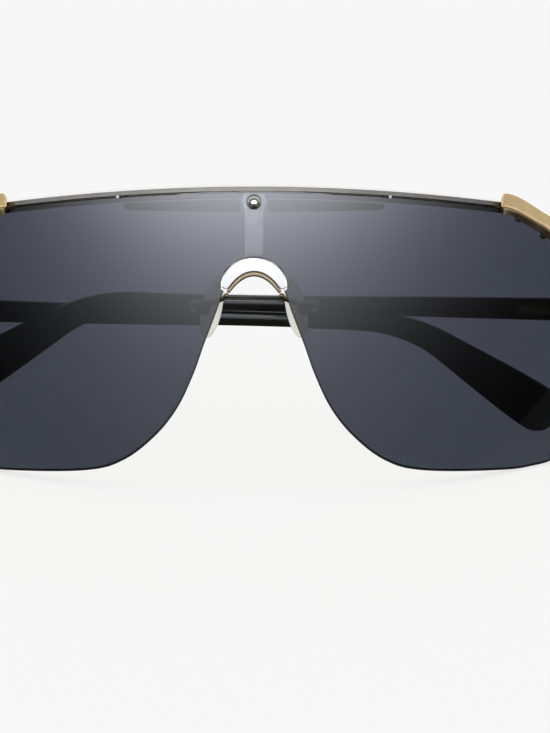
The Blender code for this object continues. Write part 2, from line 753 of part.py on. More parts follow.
def make_nose_pad(label, side, frame):
    """A soft pad with its lug, in the box on its arm, held by its screw."""
    axes = pad_matrix(side)
    pivot = empty(f"pad_axis_{label}", axes, frame)
    turns = np.linspace(0, 2 * math.pi, 32, endpoint=False)
    egg = 1 - np.sin(turns) * PAD_ROUNDING / PAD_HALF_HEIGHT
    outline = np.column_stack([
        PAD_HALF_WIDTH * np.cos(turns) * egg, PAD_HALF_HEIGHT * np.sin(turns)
    ])
    facing = Matrix.Rotation(math.pi / 2, 4, "Z")
    pad = plate(
        f"nose_pad_{label}", outline, -PAD_SEAT - GAP - PAD_THICKNESS, -PAD_SEAT - GAP, facing
    )
    soft = pad.modifiers.new("Rounding", "BEVEL")
    soft.width = PAD_ROUNDING
    soft.segments = 3
    soft.limit_method = "ANGLE"
    soft.angle_limit = math.radians(40)
    keep(smooth(pad), pivot, "clear_silicone")
    make_lug(label, pivot)
    make_box(label, pivot)
    reach = LUG_THICKNESS / 2 + GAP + BOX_CHEEK
    shank = rod(f"pad_screw_{label}", (0, -reach, 0), (0, reach + GAP, 0), PAD_SCREW_RADIUS)
    head = rod(
        f"pad_screw_head_{label}", (0, reach + GAP - SEAM, 0),
        (0, reach + GAP + PAD_SCREW_HEAD_HEIGHT, 0), PAD_SCREW_HEAD_RADIUS,
    )
    boolean(shank, as_cutter(head, pivot), "UNION")
    keep(shank, pivot, "steel")
    make_pad_arm(label, side, axes, frame)


def make_lug(label, pivot):
    """The lug that rocks in the box, with the flange that the pad is moulded on."""
    lug = rod(f"pad_lug_{label}", (0, -LUG_THICKNESS / 2, 0), (0, LUG_THICKNESS / 2, 0), LUG_RADIUS)
    stem = block(
        f"lug_stem_{label}", (0, -LUG_THICKNESS / 2, -LUG_RADIUS * 0.9),
        (PAD_SEAT - LUG_FLANGE_THICKNESS / 2, LUG_THICKNESS / 2, LUG_RADIUS * 0.9),
    )
    flange = rod(
        f"lug_flange_{label}", (PAD_SEAT - LUG_FLANGE_THICKNESS, 0, 0), (PAD_SEAT, 0, 0),
        LUG_FLANGE_RADIUS,
    )
    hole = rod(f"lug_drill_{label}", (0, -OVERRUN, 0), (0, OVERRUN, 0), PAD_SCREW_RADIUS + GAP)
    boolean(lug, as_cutter(stem, pivot), "UNION")
    boolean(lug, as_cutter(flange, pivot), "UNION")
    boolean(lug, as_cutter(hole, pivot), "DIFFERENCE")
    keep(lug, pivot, "steel")


def make_box(label, pivot):
    """The small open box at the end of the arm, drilled for the pad's screw."""
    inner = LUG_THICKNESS / 2 + GAP
    box = block(
        f"pad_box_{label}", (-BOX_BACK, -inner - BOX_CHEEK, -BOX_HALF_HEIGHT),
        (BOX_FRONT, inner + BOX_CHEEK, BOX_HALF_HEIGHT),
    )
    slot = block(
        f"box_slot_{label}", (-BOX_BACK + BOX_WEB, -inner, -OVERRUN), (OVERRUN, inner, OVERRUN)
    )
    hole = rod(f"box_drill_{label}", (0, -OVERRUN, 0), (0, OVERRUN, 0), PAD_SCREW_RADIUS + GAP)
    boolean(box, as_cutter(slot, pivot), "DIFFERENCE")
    boolean(box, as_cutter(hole, pivot), "DIFFERENCE")
    keep(box, pivot, "pale_gold")


def make_pad_arm(label, side, axes, frame):
    """The wire from the rail's foot round to the back of the pad's box."""
    foot = Vector((
        side * RAIL_FOOT_HALF_WIDTH,
        RAIL_BACK - ARM_RADIUS,
        RAIL_FOOT_HEIGHT - RAIL_FOOT_THICKNESS / 2 - GAP,
    ))
    seat = axes @ Vector((-BOX_BACK - GAP, 0, 0))
    loop = axes @ Vector((-BOX_BACK - GAP - ARM_LOOP, 0, 0))
    fall = foot + Vector((side * ARM_SPREAD, 0, -ARM_FALL))
    share = np.linspace(0, 1, ARM_STEPS)[:, None]
    path = (
        (1 - share) ** 3 * np.array(foot) + 3 * share * (1 - share) ** 2 * np.array(fall)
        + 3 * share ** 2 * (1 - share) * np.array(loop) + share ** 3 * np.array(seat)
    )
    keep(wire(f"pad_arm_{label}", path, ARM_RADIUS), frame, "pale_gold")


# End pieces

def end_path():
    """The middle of the end piece's band, from its rounded start to below the hinge."""
    return through([(a * LENS_HALF_WIDTH, b * LENS_HEIGHT) for a, b in END_PATH_SHARES], 5)


def end_screw_place(side, share):
    """Where an end piece's screw crosses the lens's front, and the way into the lens."""
    path = end_path()
    lengths = run_lengths(path)
    at = share * lengths[-1]
    aside = across_path(path)
    across = np.interp(at, lengths, path[:, 0]) - CLAMP_DROP * np.interp(at, lengths, aside[:, 0])
    up = np.interp(at, lengths, path[:, 1]) - CLAMP_DROP * np.interp(at, lengths, aside[:, 1])
    place = Vector((side * across, sheet_depth(across), up))
    axis = Vector((0, LENS_RADIUS, up))
    return place, (axis - place).normalized()


def make_end_piece(label, side, frame):
    """The end piece: a bent band in front of the lens's corner, and the block behind it."""
    path = end_path()
    lengths = run_lengths(path)
    fine = np.concatenate([
        np.linspace(0, END_ROUNDING, 6)[:-1],
        np.linspace(END_ROUNDING, lengths[-1] - END_ROUNDING, 24)[:-1],
        np.linspace(lengths[-1] - END_ROUNDING, lengths[-1], 6),
    ])
    spine = np.column_stack([np.interp(fine, lengths, path[:, i]) for i in (0, 1)])
    flare = np.clip(1 - fine / (END_FLARE_SHARE * lengths[-1]), 0, 1) ** 2
    half_widths = END_HALF_WIDTH + (END_START_HALF_WIDTH - END_HALF_WIDTH) * flare
    outline = ribbon(spine, rounded_widths(fine, lengths[-1], half_widths, END_ROUNDING, 3.0))
    outline = outline * np.array([side, 1])
    reach = path[:, 0].max() + END_HALF_WIDTH
    piece = curved_sheet(
        f"end_piece_{label}", -GAP - END_THICKNESS, END_THICKNESS, 0, LENS_HEIGHT + OVERRUN,
        reach + OVERRUN,
    )
    trim = plate(f"end_trim_{label}", outline, -OVERRUN, sheet_depth(reach) + OVERRUN)
    boolean(piece, as_cutter(trim, frame), "INTERSECT")
    inner = PIVOT_X + KNUCKLE_RADIUS + GAP
    outer = inner + TEMPLE_THICKNESS
    front = sheet_depth(inner, -GAP) - BLOCK_SINK
    edges = sorted((side * inner, side * outer))
    lump = block(
        f"end_block_{label}", (edges[0], front, PIVOT_Z - BLOCK_HALF_HEIGHT),
        (edges[1], pivot_depth() - BUTT_GAP, PIVOT_Z + BLOCK_HALF_HEIGHT),
    )
    boolean(piece, as_cutter(lump, frame), "UNION")
    for number, share in enumerate(END_SCREW_SHARES):
        place, inward = end_screw_place(side, share)
        drill = rod(
            f"end_thread_{label}_{number}", place - inward * (GAP + END_SCREW_GRIP + GAP),
            place + inward * OVERRUN, END_SCREW_RADIUS + GAP,
        )
        boolean(piece, as_cutter(drill, frame), "DIFFERENCE")
    keep(smooth(piece), frame, "pale_gold")


def make_clamp(label, side, frame):
    """The slim plate behind the lens's corner, and the screws that pull it to the end piece."""
    path = end_path()
    lengths = run_lengths(path)
    first, last = (share * lengths[-1] for share in CLAMP_RUN_SHARES)
    fine = first + (last - first) * (1 - np.cos(np.linspace(0, math.pi, 17))) / 2
    aside = across_path(path)
    spine = np.column_stack([
        np.interp(fine, lengths, path[:, i] - CLAMP_DROP * aside[:, i]) for i in (0, 1)
    ])
    widths = rounded_widths(fine - first, last - first, CLAMP_HALF_WIDTH, CLAMP_HALF_WIDTH)
    offset = LENS_THICKNESS + GAP
    reach = spine[:, 0].max()
    clamp = curved_sheet(
        f"lens_clamp_{label}", offset, CLAMP_THICKNESS, 0, LENS_HEIGHT, reach + OVERRUN
    )
    outline = ribbon(spine, widths) * np.array([side, 1])
    trim = plate(f"clamp_trim_{label}", outline, 0, sheet_depth(reach, offset) + 2 * OVERRUN)
    boolean(clamp, as_cutter(trim, frame), "INTERSECT")
    behind = offset + CLAMP_THICKNESS + GAP
    for number, share in enumerate(END_SCREW_SHARES, 1):
        place, inward = end_screw_place(side, share)
        drill = rod(
            f"clamp_drill_{label}_{number}", place, place + inward * (behind + OVERRUN),
            END_SCREW_RADIUS + GAP,
        )
        boolean(clamp, as_cutter(drill, frame), "DIFFERENCE")
        screw = rod(
            f"end_screw_{label}_{number}", place - inward * (GAP + END_SCREW_GRIP),
            place + inward * behind, END_SCREW_RADIUS,
        )
        head = rod(
            f"end_screw_head_{label}_{number}", place + inward * (behind - SEAM),
            place + inward * (behind + END_SCREW_HEAD_HEIGHT), END_SCREW_HEAD_RADIUS,
        )
        boolean(screw, as_cutter(head, frame), "UNION")
        keep(screw, frame, "steel")
    keep(smooth(clamp), frame, "pale_gold")


# Hinges and temples

def knuckle(name, low, high):
    """One barrel of a hinge."""
    return rod(name, (0, 0, low), (0, 0, high), KNUCKLE_RADIUS)


def leaf_box(name, side, start, end, low, high):
    """A stretch of a hinge's leaf, flat against the outer edge of its barrels."""
    across = sorted((side * (KNUCKLE_RADIUS - LEAF_THICKNESS), side * KNUCKLE_RADIUS))
    return block(name, (across[0], start, low), (across[1], end, high))


def make_hinge(label, side, seat, swing):
    """The front leaf with two barrels, the temple's leaf with one, and the hinge's screw."""
    inner = KNUCKLE_HEIGHT / 2
    outer = inner + GAP + KNUCKLE_HEIGHT
    clear = KNUCKLE_RADIUS + GAP
    drill = rod(
        f"hinge_drill_{label}", (0, 0, -outer - OVERRUN), (0, 0, outer + OVERRUN),
        HINGE_PIN_RADIUS + GAP,
    )
    as_cutter(drill, seat)
    root = sheet_depth(PIVOT_X + KNUCKLE_RADIUS, LENS_THICKNESS + GAP) + GAP - pivot_depth()
    front = leaf_box(f"front_leaf_{label}", side, root, -clear, -outer, outer)
    for name, low, high in (("upper", inner + GAP, outer), ("lower", -outer, -inner - GAP)):
        barrel = knuckle(f"{name}_knuckle_{label}", low, high)
        tab = leaf_box(f"{name}_tab_{label}", side, -clear - SEAM, 0, low, high)
        boolean(front, as_cutter(barrel, seat), "UNION")
        boolean(front, as_cutter(tab, seat), "UNION")
    boolean(front, drill, "DIFFERENCE")
    keep(smooth(front), seat, "pale_gold")

    leaf = leaf_box(f"temple_leaf_{label}", side, clear, clear + TEMPLE_LEAF_LENGTH, -inner - GAP, inner + GAP)
    barrel = knuckle(f"middle_knuckle_{label}", -inner, inner)
    tab = leaf_box(f"middle_tab_{label}", side, 0, clear + SEAM, -inner, inner)
    pin_hole = rod(
        f"leaf_drill_{label}", (0, 0, -outer), (0, 0, outer), HINGE_PIN_RADIUS + GAP
    )
    boolean(leaf, as_cutter(barrel, swing), "UNION")
    boolean(leaf, as_cutter(tab, swing), "UNION")
    boolean(leaf, as_cutter(pin_hole, swing), "DIFFERENCE")
    for number, place in enumerate(rivet_places(), 1):
        hole = rod(
            f"rivet_hole_{label}_{number}", (0, place, 0),
            (side * (KNUCKLE_RADIUS + OVERRUN / 4), place, 0), RIVET_RADIUS + GAP,
        )
        boolean(leaf, as_cutter(hole, swing), "DIFFERENCE")
    keep(smooth(leaf), swing, "pale_gold")

    pin = rod(f"hinge_screw_{label}", (0, 0, -outer), (0, 0, outer + GAP), HINGE_PIN_RADIUS)
    head = rod(
        f"hinge_head_{label}", (0, 0, outer + GAP - SEAM), (0, 0, outer + GAP + HINGE_HEAD_HEIGHT),
        HINGE_HEAD_RADIUS,
    )
    boolean(pin, as_cutter(head, seat), "UNION")
    keep(pin, seat, "steel")


def rivet_places():
    """Distances from the pivot of the rivets through the temple's leaf."""
    start = KNUCKLE_RADIUS + GAP
    return [start + share * TEMPLE_LEAF_LENGTH for share in RIVET_SHARES]


def temple_spine(distances):
    """The temple's middle line: straight, then bent down on an arc, then straight to the tip."""
    arc = TEMPLE_BEND * TEMPLE_BEND_RADIUS
    bent = np.clip((distances - TEMPLE_BEND_START) / arc, 0, 1) * TEMPLE_BEND
    after = np.clip(distances - TEMPLE_BEND_START - arc, 0, None)
    along = (
        np.minimum(distances, TEMPLE_BEND_START)
        + TEMPLE_BEND_RADIUS * np.sin(bent) + after * math.cos(TEMPLE_BEND)
    )
    up = -TEMPLE_BEND_RADIUS * (1 - np.cos(bent)) - after * math.sin(TEMPLE_BEND)
    return np.column_stack([along, up])


def temple_outline():
    """The temple seen from the side, from its butt end to its rounded paddle tip."""
    start = BUTT_GAP
    closing = TEMPLE_LENGTH - TEMPLE_TIP_ROUNDING
    turns = np.linspace(0, math.pi / 2, 9)[1:]
    distances = np.concatenate([
        np.linspace(start, TEMPLE_BEND_START, 14)[:-1],
        np.linspace(TEMPLE_BEND_START, closing, 18),
        closing + TEMPLE_TIP_ROUNDING * np.sin(turns),
    ])
    shares, widths = np.array(through(TEMPLE_WIDTH_SHARES, 6)).T
    half = np.interp(distances / TEMPLE_LENGTH, shares, widths) * TEMPLE_WIDTH / 2
    end = np.clip((distances - closing) / TEMPLE_TIP_ROUNDING, 0, 1)
    half = half * (1 - end ** TEMPLE_TIP_POWER) ** (1 / TEMPLE_TIP_POWER)
    return ribbon(temple_spine(distances), half)


def make_temple(label, side, swing):
    """The temple, with the bore for its core wire and the holes for its rivets."""
    inner = side * (KNUCKLE_RADIUS + GAP)
    outer = side * (KNUCKLE_RADIUS + GAP + TEMPLE_THICKNESS)
    facing = Matrix.Rotation(math.pi / 2, 4, "Z")
    front, back = sorted((-inner, -outer))
    temple = plate(f"temple_{label}", temple_outline(), front, back, facing)
    chamfer = temple.modifiers.new("Chamfer", "BEVEL")
    chamfer.width = TEMPLE_CHAMFER
    chamfer.segments = 2
    chamfer.limit_method = "ANGLE"
    chamfer.angle_limit = math.radians(40)
    middle = outer - side * CORE_INSET
    bore = rod(
        f"core_bore_{label}", (middle, -OVERRUN, 0), (middle, CORE_START + CORE_LENGTH + GAP, 0),
        CORE_RADIUS + GAP,
    )
    boolean(temple, as_cutter(bore, swing), "DIFFERENCE")
    for number, place in enumerate(rivet_places(), 1):
        tip = inner + side * RIVET_GRIP
        hole = rod(
            f"rivet_seat_{label}_{number}", (inner - side * GAP, place, 0),
            (tip + side * SEAM, place, 0), RIVET_RADIUS + GAP,
        )
        boolean(temple, as_cutter(hole, swing), "DIFFERENCE")
        base = side * (KNUCKLE_RADIUS - LEAF_THICKNESS - GAP)
        rivet = rod(f"leaf_rivet_{label}_{number}", (base, place, 0), (tip, place, 0), RIVET_RADIUS)
        head = rod(
            f"rivet_head_{label}_{number}", (base + side * SEAM, place, 0),
            (base - side * RIVET_HEAD_HEIGHT, place, 0), RIVET_HEAD_RADIUS,
        )
        boolean(rivet, as_cutter(head, swing), "UNION")
        keep(rivet, swing, "steel")
    keep(smooth(temple), swing, "black_acetate")
    core = rod(
        f"core_wire_{label}", (middle, CORE_START, 0), (middle, CORE_START + CORE_LENGTH, 0),
        CORE_RADIUS,
    )
    keep(core, swing, "steel")


# Standing the frame

def world_points(names):
    """The corners of some pieces' finished meshes, in world space."""
    bpy.context.view_layer.update()
    graph = bpy.context.evaluated_depsgraph_get()
    found = []
    for name in names:
        obj = bpy.data.objects[name].evaluated_get(graph)
        mesh = obj.to_mesh()
        points = np.empty(len(mesh.vertices) * 3, np.float32)
        mesh.vertices.foreach_get("co", points)
        obj.to_mesh_clear()
        world = np.array(obj.matrix_world)
        found.append(points.reshape(-1, 3) @ world[:3, :3].T + world[:3, 3])
    return np.vstack(found)


def stand(frame):
    """Lean the frame back until the lens and the lower temple tip stand on the ground together.

    The middle of its bounding box then goes over the origin.
    """
    lens = world_points(["shield_lens"])
    tip = world_points(["temple_right"])

    def lowest(points, lean):
        return (points[:, 2] * math.cos(lean) - points[:, 1] * math.sin(lean)).min()

    flat, steep = 0.0, math.pi / 4
    for _ in range(40):
        lean = (flat + steep) / 2
        if lowest(tip, lean) > lowest(lens, lean):
            flat = lean
        else:
            steep = lean
    every = world_points([obj.name for obj in PARTS.objects if obj.type == "MESH"])
    deep = every[:, 1] * math.cos(lean) + every[:, 2] * math.sin(lean)
    middle = (deep.min() + deep.max()) / 2
    frame.matrix_local = (
        Matrix.Translation((0, -middle, -lowest(lens, lean))) @ Matrix.Rotation(-lean, 4, "X")
    )


def main():
    frame = empty("frame_axes", Matrix.Identity(4))
    make_lens(frame)
    make_brow_bar(frame)
    make_strut(frame)
    make_centre_screw(frame)
    make_bridge(frame)
    for label, side in SIDES.items():
        make_brow_plate(label, side, frame)
        make_claw(label, side, frame)
        make_nose_pad(label, side, frame)
        make_end_piece(label, side, frame)
        make_clamp(label, side, frame)
        pivot = Matrix.Translation((side * PIVOT_X, pivot_depth(), PIVOT_Z))
        seat = empty(
            f"hinge_axis_{label}", pivot @ Matrix.Rotation(side * RISE[side], 4, "Y"), frame
        )
        swing = empty(f"temple_axis_{label}", Matrix.Rotation(side * FOLD[side], 4, "Z"), seat)
        make_hinge(label, side, seat, swing)
        make_temple(label, side, swing)
    stand(frame)


clear_scene()
PARTS = new_collection("shield_sunglasses")
CUTTERS = new_collection("cutters")
main()
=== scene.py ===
"""Looks of one-piece shield sunglasses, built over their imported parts.

Shapes are drawn in the frame's own axes: the middle of the lens's front face lies on the Y axis, the
lens's lowest edge is at height zero and the wearer's side is +Y. They are then leaned back and stood
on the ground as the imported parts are. Left and right are the wearer's, so left is +X.
"""

import json
import math

import bmesh
import bpy
import numpy as np
from bpy.props import FloatProperty, FloatVectorProperty, PointerProperty
from mathutils import Matrix, Vector

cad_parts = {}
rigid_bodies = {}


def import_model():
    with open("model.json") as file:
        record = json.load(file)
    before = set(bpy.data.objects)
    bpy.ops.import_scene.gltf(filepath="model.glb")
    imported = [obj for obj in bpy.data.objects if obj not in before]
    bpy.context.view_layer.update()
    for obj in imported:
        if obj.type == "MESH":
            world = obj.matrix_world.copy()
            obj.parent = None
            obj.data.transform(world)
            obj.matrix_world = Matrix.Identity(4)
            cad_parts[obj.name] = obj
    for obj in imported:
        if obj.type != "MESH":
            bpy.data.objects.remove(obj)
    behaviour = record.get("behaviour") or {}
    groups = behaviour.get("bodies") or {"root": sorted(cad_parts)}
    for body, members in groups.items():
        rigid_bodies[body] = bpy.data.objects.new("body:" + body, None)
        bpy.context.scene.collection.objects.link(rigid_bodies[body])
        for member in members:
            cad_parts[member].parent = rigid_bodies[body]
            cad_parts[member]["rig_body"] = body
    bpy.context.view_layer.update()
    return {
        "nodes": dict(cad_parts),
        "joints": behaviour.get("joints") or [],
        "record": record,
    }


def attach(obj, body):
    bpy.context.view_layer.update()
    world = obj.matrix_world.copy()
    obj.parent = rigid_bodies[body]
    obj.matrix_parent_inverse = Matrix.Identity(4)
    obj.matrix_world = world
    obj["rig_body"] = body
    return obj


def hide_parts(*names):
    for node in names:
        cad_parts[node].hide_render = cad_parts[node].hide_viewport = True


bl_info = {
    "name": "Shield Sunglasses",
    "version": (1, 0, 0),
    "blender": (4, 5, 0),
    "location": "3D View > Sidebar > Sunglasses",
    "description": "Builds the looks of one-piece shield sunglasses over their packed parts",
    "category": "Object",
}

MM = 0.001
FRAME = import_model()
SIDES = {"left": 1, "right": -1}

# Side and foot of the lens, from its top edge's end round to the foot: shares of half width and height
LENS_SIDE_SHARES = (
    (0.897, 0.860), (0.939, 0.816), (0.966, 0.760), (0.977, 0.690), (0.978, 0.610), (0.979, 0.510),
    (0.989, 0.400), (1.000, 0.290), (0.995, 0.168), (0.969, 0.070),
)
LENS_FOOT_SHARES = ((0.916, 0.016), (0.847, 0.002), (0.750, 0.000))
FLARE_SHARES = (
    (0.750, 0.036), (0.545, 0.101), (0.372, 0.235), (0.250, 0.386), (0.162, 0.565), (0.106, 0.717),
    (0.035, 0.899),
)
END_PATH_SHARES = (
    (0.735, 0.9400), (0.757, 0.9365), (0.784, 0.9240), (0.811, 0.9060), (0.850, 0.8770), (0.890, 0.846),
    (0.953, 0.780), (0.989, 0.704), (1.006, 0.619), (1.008, 0.551), (1.008, 0.478),
)
TEMPLE_WIDTH_SHARES = (
    (0.00, 0.48), (0.20, 0.43), (0.47, 0.34), (0.63, 0.37), (0.71, 0.47), (0.78, 0.58), (0.86, 0.79),
    (0.93, 0.95), (1.00, 1.02),
)

# Where the lens's top edge ends, as a share of the half width
TOP_REACH_SHARE = 0.840

# Steps along one half of the lens's lower edge: over the arch, round the cusp and on to the corner
ARCH_STEPS, CUSP_STEPS, FOOT_STEPS = 39, 3, 109

# The rail's feet from the cusps, its top from the arch's middle, and its depth
RAIL_INSET = 0.95 * MM
RAIL_DROP = 0.4 * MM
RAIL_RISE = 2.6 * MM
RAIL_FRONT, RAIL_BACK = 0.2 * MM, 4.6 * MM

# How far each temple folds and how its folded line rises, by the side it is hinged on
FOLD = {1: math.radians(91.5), -1: math.radians(87.5)}
RISE = {1: math.radians(1.35), -1: math.radians(-2.1)}

# How a nose pad is turned about the upright and then leaned
PAD_SPLAY = math.radians(32)
PAD_SLANT = math.radians(14)

# Strength of what counts as dark to mirrors
DARK = 0.008


# Settings

def length(name, description, millimetres):
    """A length setting, given in millimetres and kept in metres."""
    return FloatProperty(
        name=name, description=description, default=millimetres * MM, min=0, precision=5,
        subtype="DISTANCE", unit="LENGTH",
    )


def tint(name, description, default):
    """A colour setting."""
    return FloatVectorProperty(
        name=name, description=description, default=default, min=0, max=1, size=3, subtype="COLOR"
    )


class SunglassesSizes(bpy.types.PropertyGroup):
    """Sizes of the lens, the brow, the bridge, the end pieces and the temples."""

    lens_radius: length("Lens radius", "Radius of the lens's bend", 118.0)
    lens_thickness: length("Lens thickness", "Wall of the lens", 2.0)
    lens_height: length("Lens height", "Height of the lens at its middle", 62.4)
    lens_half_width: length("Lens half width", "Half of the lens's width", 72.0)
    lens_top_drop: length("Lens top drop", "Fall of the top edge from its middle to its end", 6.3)
    lens_edge: length("Lens edge", "Width of the bevel along the lens's edge", 0.12)
    lens_rim: length("Lens rim", "Width of the dark line along the lens's edge", 0.24)
    gap: length("Gap", "Clearance between pieces that touch", 0.3)
    cusp_half_width: length("Cusp half width", "Half of the nose cut-out where it is narrowest", 6.5)
    arch_rise: length("Arch rise", "Height of the cut-out's arch", 6.2)
    bar_lip: length("Bar lip", "Height of the bar's lip over the lens's edge", 1.0)
    bar_band: length("Bar band", "Depth of the bar's band behind the lens", 1.4)
    bar_thickness: length("Bar thickness", "Thickness of the band and of the plates", 1.2)
    bar_edge: length("Bar edge", "Rounding of the bar's edges", 0.12)
    eyelet_drop: length("Eyelet drop", "From the lens's top to the centre screw", 2.0)
    rail_thickness: length("Rail thickness", "Thickness of the arched rail at its top", 1.1)
    rail_foot: length("Rail foot", "Thickness of the arched rail at its feet", 0.7)
    arm_radius: length("Arm radius", "Radius of the wires that carry the nose pads", 0.55)
    pad_half_width: length("Pad half width", "Half of a nose pad's width", 3.3)
    pad_half_height: length("Pad half height", "Half of a nose pad's height", 7.0)
    pad_thickness: length("Pad thickness", "Thickness of a nose pad", 2.3)
    end_start: length("End piece start", "Half of the end piece's band where it starts", 2.3)
    end_half_width: length("End piece half width", "Half of the end piece's band", 1.85)
    end_thickness: length("End piece thickness", "Thickness of the end piece's band", 2.0)
    temple_thickness: length("Temple thickness", "Thickness of a temple", 3.0)
    temple_crown: length("Temple crown", "Bulge of a temple's faces", 0.22)
    temple_width: length("Temple width", "Width of a temple's paddle tip", 10.6)


class SunglassesFinish(bpy.types.PropertyGroup):
    """Colours and gloss of the materials."""

    lens_tint: tint("Lens tint", "What white looks like through the lens", (0.0673, 0.0762, 0.104))
    lens_shade: tint("Lens shade", "Warm light that the lens lets fall on the floor", (0.975, 0.982, 0.78))
    gold: tint("Pale gold", "Plating of the end pieces and hinges", (0.52, 0.385, 0.21))
    # Gold darkened to brown: painted shade on the arched rail and the pad arms
    shade_darkened_gold: tint("Shade Darkened Gold", "Plating of the arched rail", (0.36, 0.28, 0.19))
    champagne: tint("Champagne", "Plating of the brow bar", (0.225, 0.214, 0.194))
    gunmetal: tint("Gunmetal", "Plating of the plates behind the lens", (0.10, 0.10, 0.11))
    bright: tint("Bright metal", "Polished crescent, strut and screw", (0.93, 0.92, 0.90))
    steel: tint("Steel", "Screws, nuts and rivets", (0.56, 0.55, 0.54))
    acetate: tint("Black acetate", "Temples", (0.006, 0.006, 0.007))
    silicone: tint("Clear silicone", "Nose pads", (0.90, 0.90, 0.98))
    lens_rim: tint("Lens rim", "Polished edge of the lens", (0.012, 0.013, 0.017))


class SunglassesStage(bpy.types.PropertyGroup):
    """Light, floor and camera."""

    floor: tint("Floor", "Colour of the floor", (0.90, 0.90, 0.90))
    ambient: FloatProperty(
        name="Ambient", description="Strength of the even light on matt surfaces", default=1.02, min=0
    )
    lamp_power: FloatProperty(
        name="Lamp power", description="Power of the soft lamp overhead", default=2.0, min=0,
        subtype="POWER", unit="POWER",
    )
    glare: FloatProperty(
        name="Glare", description="Strength of the soft card that the lens mirrors", default=2.12, min=0
    )
    rim: FloatProperty(
        name="Rim", description="Strength of the card behind, which brightens top edges", default=1.7, min=0
    )
    glare_spread: FloatProperty(
        name="Glare spread", description="How far to each side the glare reaches",
        default=math.radians(62), min=0.01, subtype="ANGLE", unit="ROTATION",
    )
    strip_power: FloatProperty(
        name="Strip power", description="Power of the narrow lamp in front", default=1.1, min=0,
        subtype="POWER", unit="POWER",
    )
    strut_power: FloatProperty(
        name="Strut power", description="Power of the lamp that lights the strut through the lens",
        default=31.0, min=0, subtype="POWER", unit="POWER",
    )
    ridge_power: FloatProperty(
        name="Ridge power", description="Power of each lamp that lights an end piece's ridge",
        default=0.075, min=0, subtype="POWER", unit="POWER",
    )
    distance: length("Camera distance", "From the camera to the lens", 700.0)
    focal_length: FloatProperty(
        name="Focal length", description="Focal length of the camera, in millimetres", default=161.6,
        min=1,
    )
    aim_height: length("Aim height", "Height on the lens that the camera looks at", 25.2)


# Curves

def through(points, steps):
    """Points along a Catmull-Rom curve through the given ones: the cubic between each two whose end
    slopes are half the step from the point before to the point after."""
    given = np.array(points, float)
    ends = np.vstack([2 * given[0] - given[1], given, 2 * given[-1] - given[-2]])
    before, start, end, after = ends[:-3, None], ends[1:-2, None], ends[2:-1, None], ends[3:, None]
    share = (np.arange(steps) / steps)[None, :, None]
    curve = 0.5 * (
        2 * start + (end - before) * share + (2 * before - 5 * start + 4 * end - after) * share ** 2
        + (3 * start - before - 3 * end + after) * share ** 3
    )
    return np.vstack([curve.reshape(-1, given.shape[1]), given[-1:]])


def lengths_along(path):
    """The running sum of the steps between a path's points."""
    steps = np.linalg.norm(np.diff(path, axis=0), axis=1)
    return np.concatenate([[0], np.cumsum(steps)])


def at_lengths(path, wanted):
    """A path's points at the wanted distances along it, by straight lines between its points."""
    along = lengths_along(path)
    return np.column_stack([np.interp(wanted, along, column) for column in path.T])


def spread(path, count):
    """A path's points moved to equal distances."""
    return at_lengths(path, np.linspace(0, lengths_along(path)[-1], count))


def aside_of(path):
    """Unit vectors square to a flat path, to its left: its slope turned a quarter."""
    along = np.gradient(path, axis=0)
    along /= np.linalg.norm(along, axis=1)[:, None]
    return np.column_stack([-along[:, 1], along[:, 0]])


def inset(loop, distance):
    """A closed flat loop moved inwards: each point goes square to the chord between its neighbours."""
    chord = np.roll(loop, -1, axis=0) - np.roll(loop, 1, axis=0)
    chord /= np.linalg.norm(chord, axis=1)[:, None]
    x, y = loop.T
    turn = np.sign((x * np.roll(y, -1) - np.roll(x, -1) * y).sum())
    return loop + distance * turn * np.column_stack([-chord[:, 1], chord[:, 0]])


def filleted(corners, radius, steps=4):
    """A closed polygon with round corners: each corner becomes the parabola whose ends lie one
    radius from it along its two sides, with a point just outside each end that keeps the sides
    flat to the light. Works on many polygons at once, the corners second to last."""
    before = np.roll(corners, 1, axis=-2) - corners
    after = np.roll(corners, -1, axis=-2) - corners
    before = radius * before / np.linalg.norm(before, axis=-1, keepdims=True)
    after = radius * after / np.linalg.norm(after, axis=-1, keepdims=True)
    start, end = corners + before, corners + after
    share = np.linspace(0, 1, steps + 1)[:, None]
    rounded = (
        (1 - share) ** 2 * start[..., None, :] + 2 * share * (1 - share) * corners[..., None, :]
        + share ** 2 * end[..., None, :]
    )
    guards = [(corners + 1.05 * before)[..., None, :], rounded, (corners + 1.05 * after)[..., None, :]]
    return np.concatenate(guards, axis=-2).reshape(*corners.shape[:-2], -1, corners.shape[-1])


def stations(total, first, last, count):
    """Distances from 0 to a total, close together where the ends round off."""
    turns = np.linspace(0.08, math.pi / 2, 9)
    start = first * (1 - np.cos(turns))
    end = total - last * (1 - np.cos(turns[::-1]))
    return np.concatenate([start, np.linspace(first, total - last, count)[1:-1], end])


def closing(distances, total, first, last, power=2.0):
    """The width left at each distance: a superellipse over the first and last stretch, 1 between."""
    into = np.maximum((first - distances) / first, (distances - (total - last)) / last)
    return (1 - np.clip(into, 0, 1) ** power) ** (1 / power)


# Placing

def stand():
    """The frame's lean and place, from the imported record: the wearer's direction gives the lean, and
    the left pad's pivot, less its place in the frame's own axes, gives the shift."""
    ahead = next(m for m in FRAME["record"]["mounts"] if m["name"] == "worn_on_head")["axis"]
    lean = math.atan2(-ahead[2], ahead[1])
    turn = np.array([
        (1, 0, 0), (0, math.cos(lean), math.sin(lean)), (0, -math.sin(lean), math.cos(lean)),
    ])
    pad = next(j for j in FRAME["joints"] if j["name"] == "nose_pad_left_rock")["pos_m"]
    return turn, np.array(pad) - turn @ pad_pivot(1), lean


def pad_pivot(side):
    """The place of a nose pad's rocking axis in the frame's own axes."""
    return np.array((side * 11.2, 9.6, 36.6024)) * MM


def stood(points):
    """Points from the frame's own axes to the ground's: turned by the lean, then shifted."""
    return np.asarray(points) @ TURN.T + SHIFT


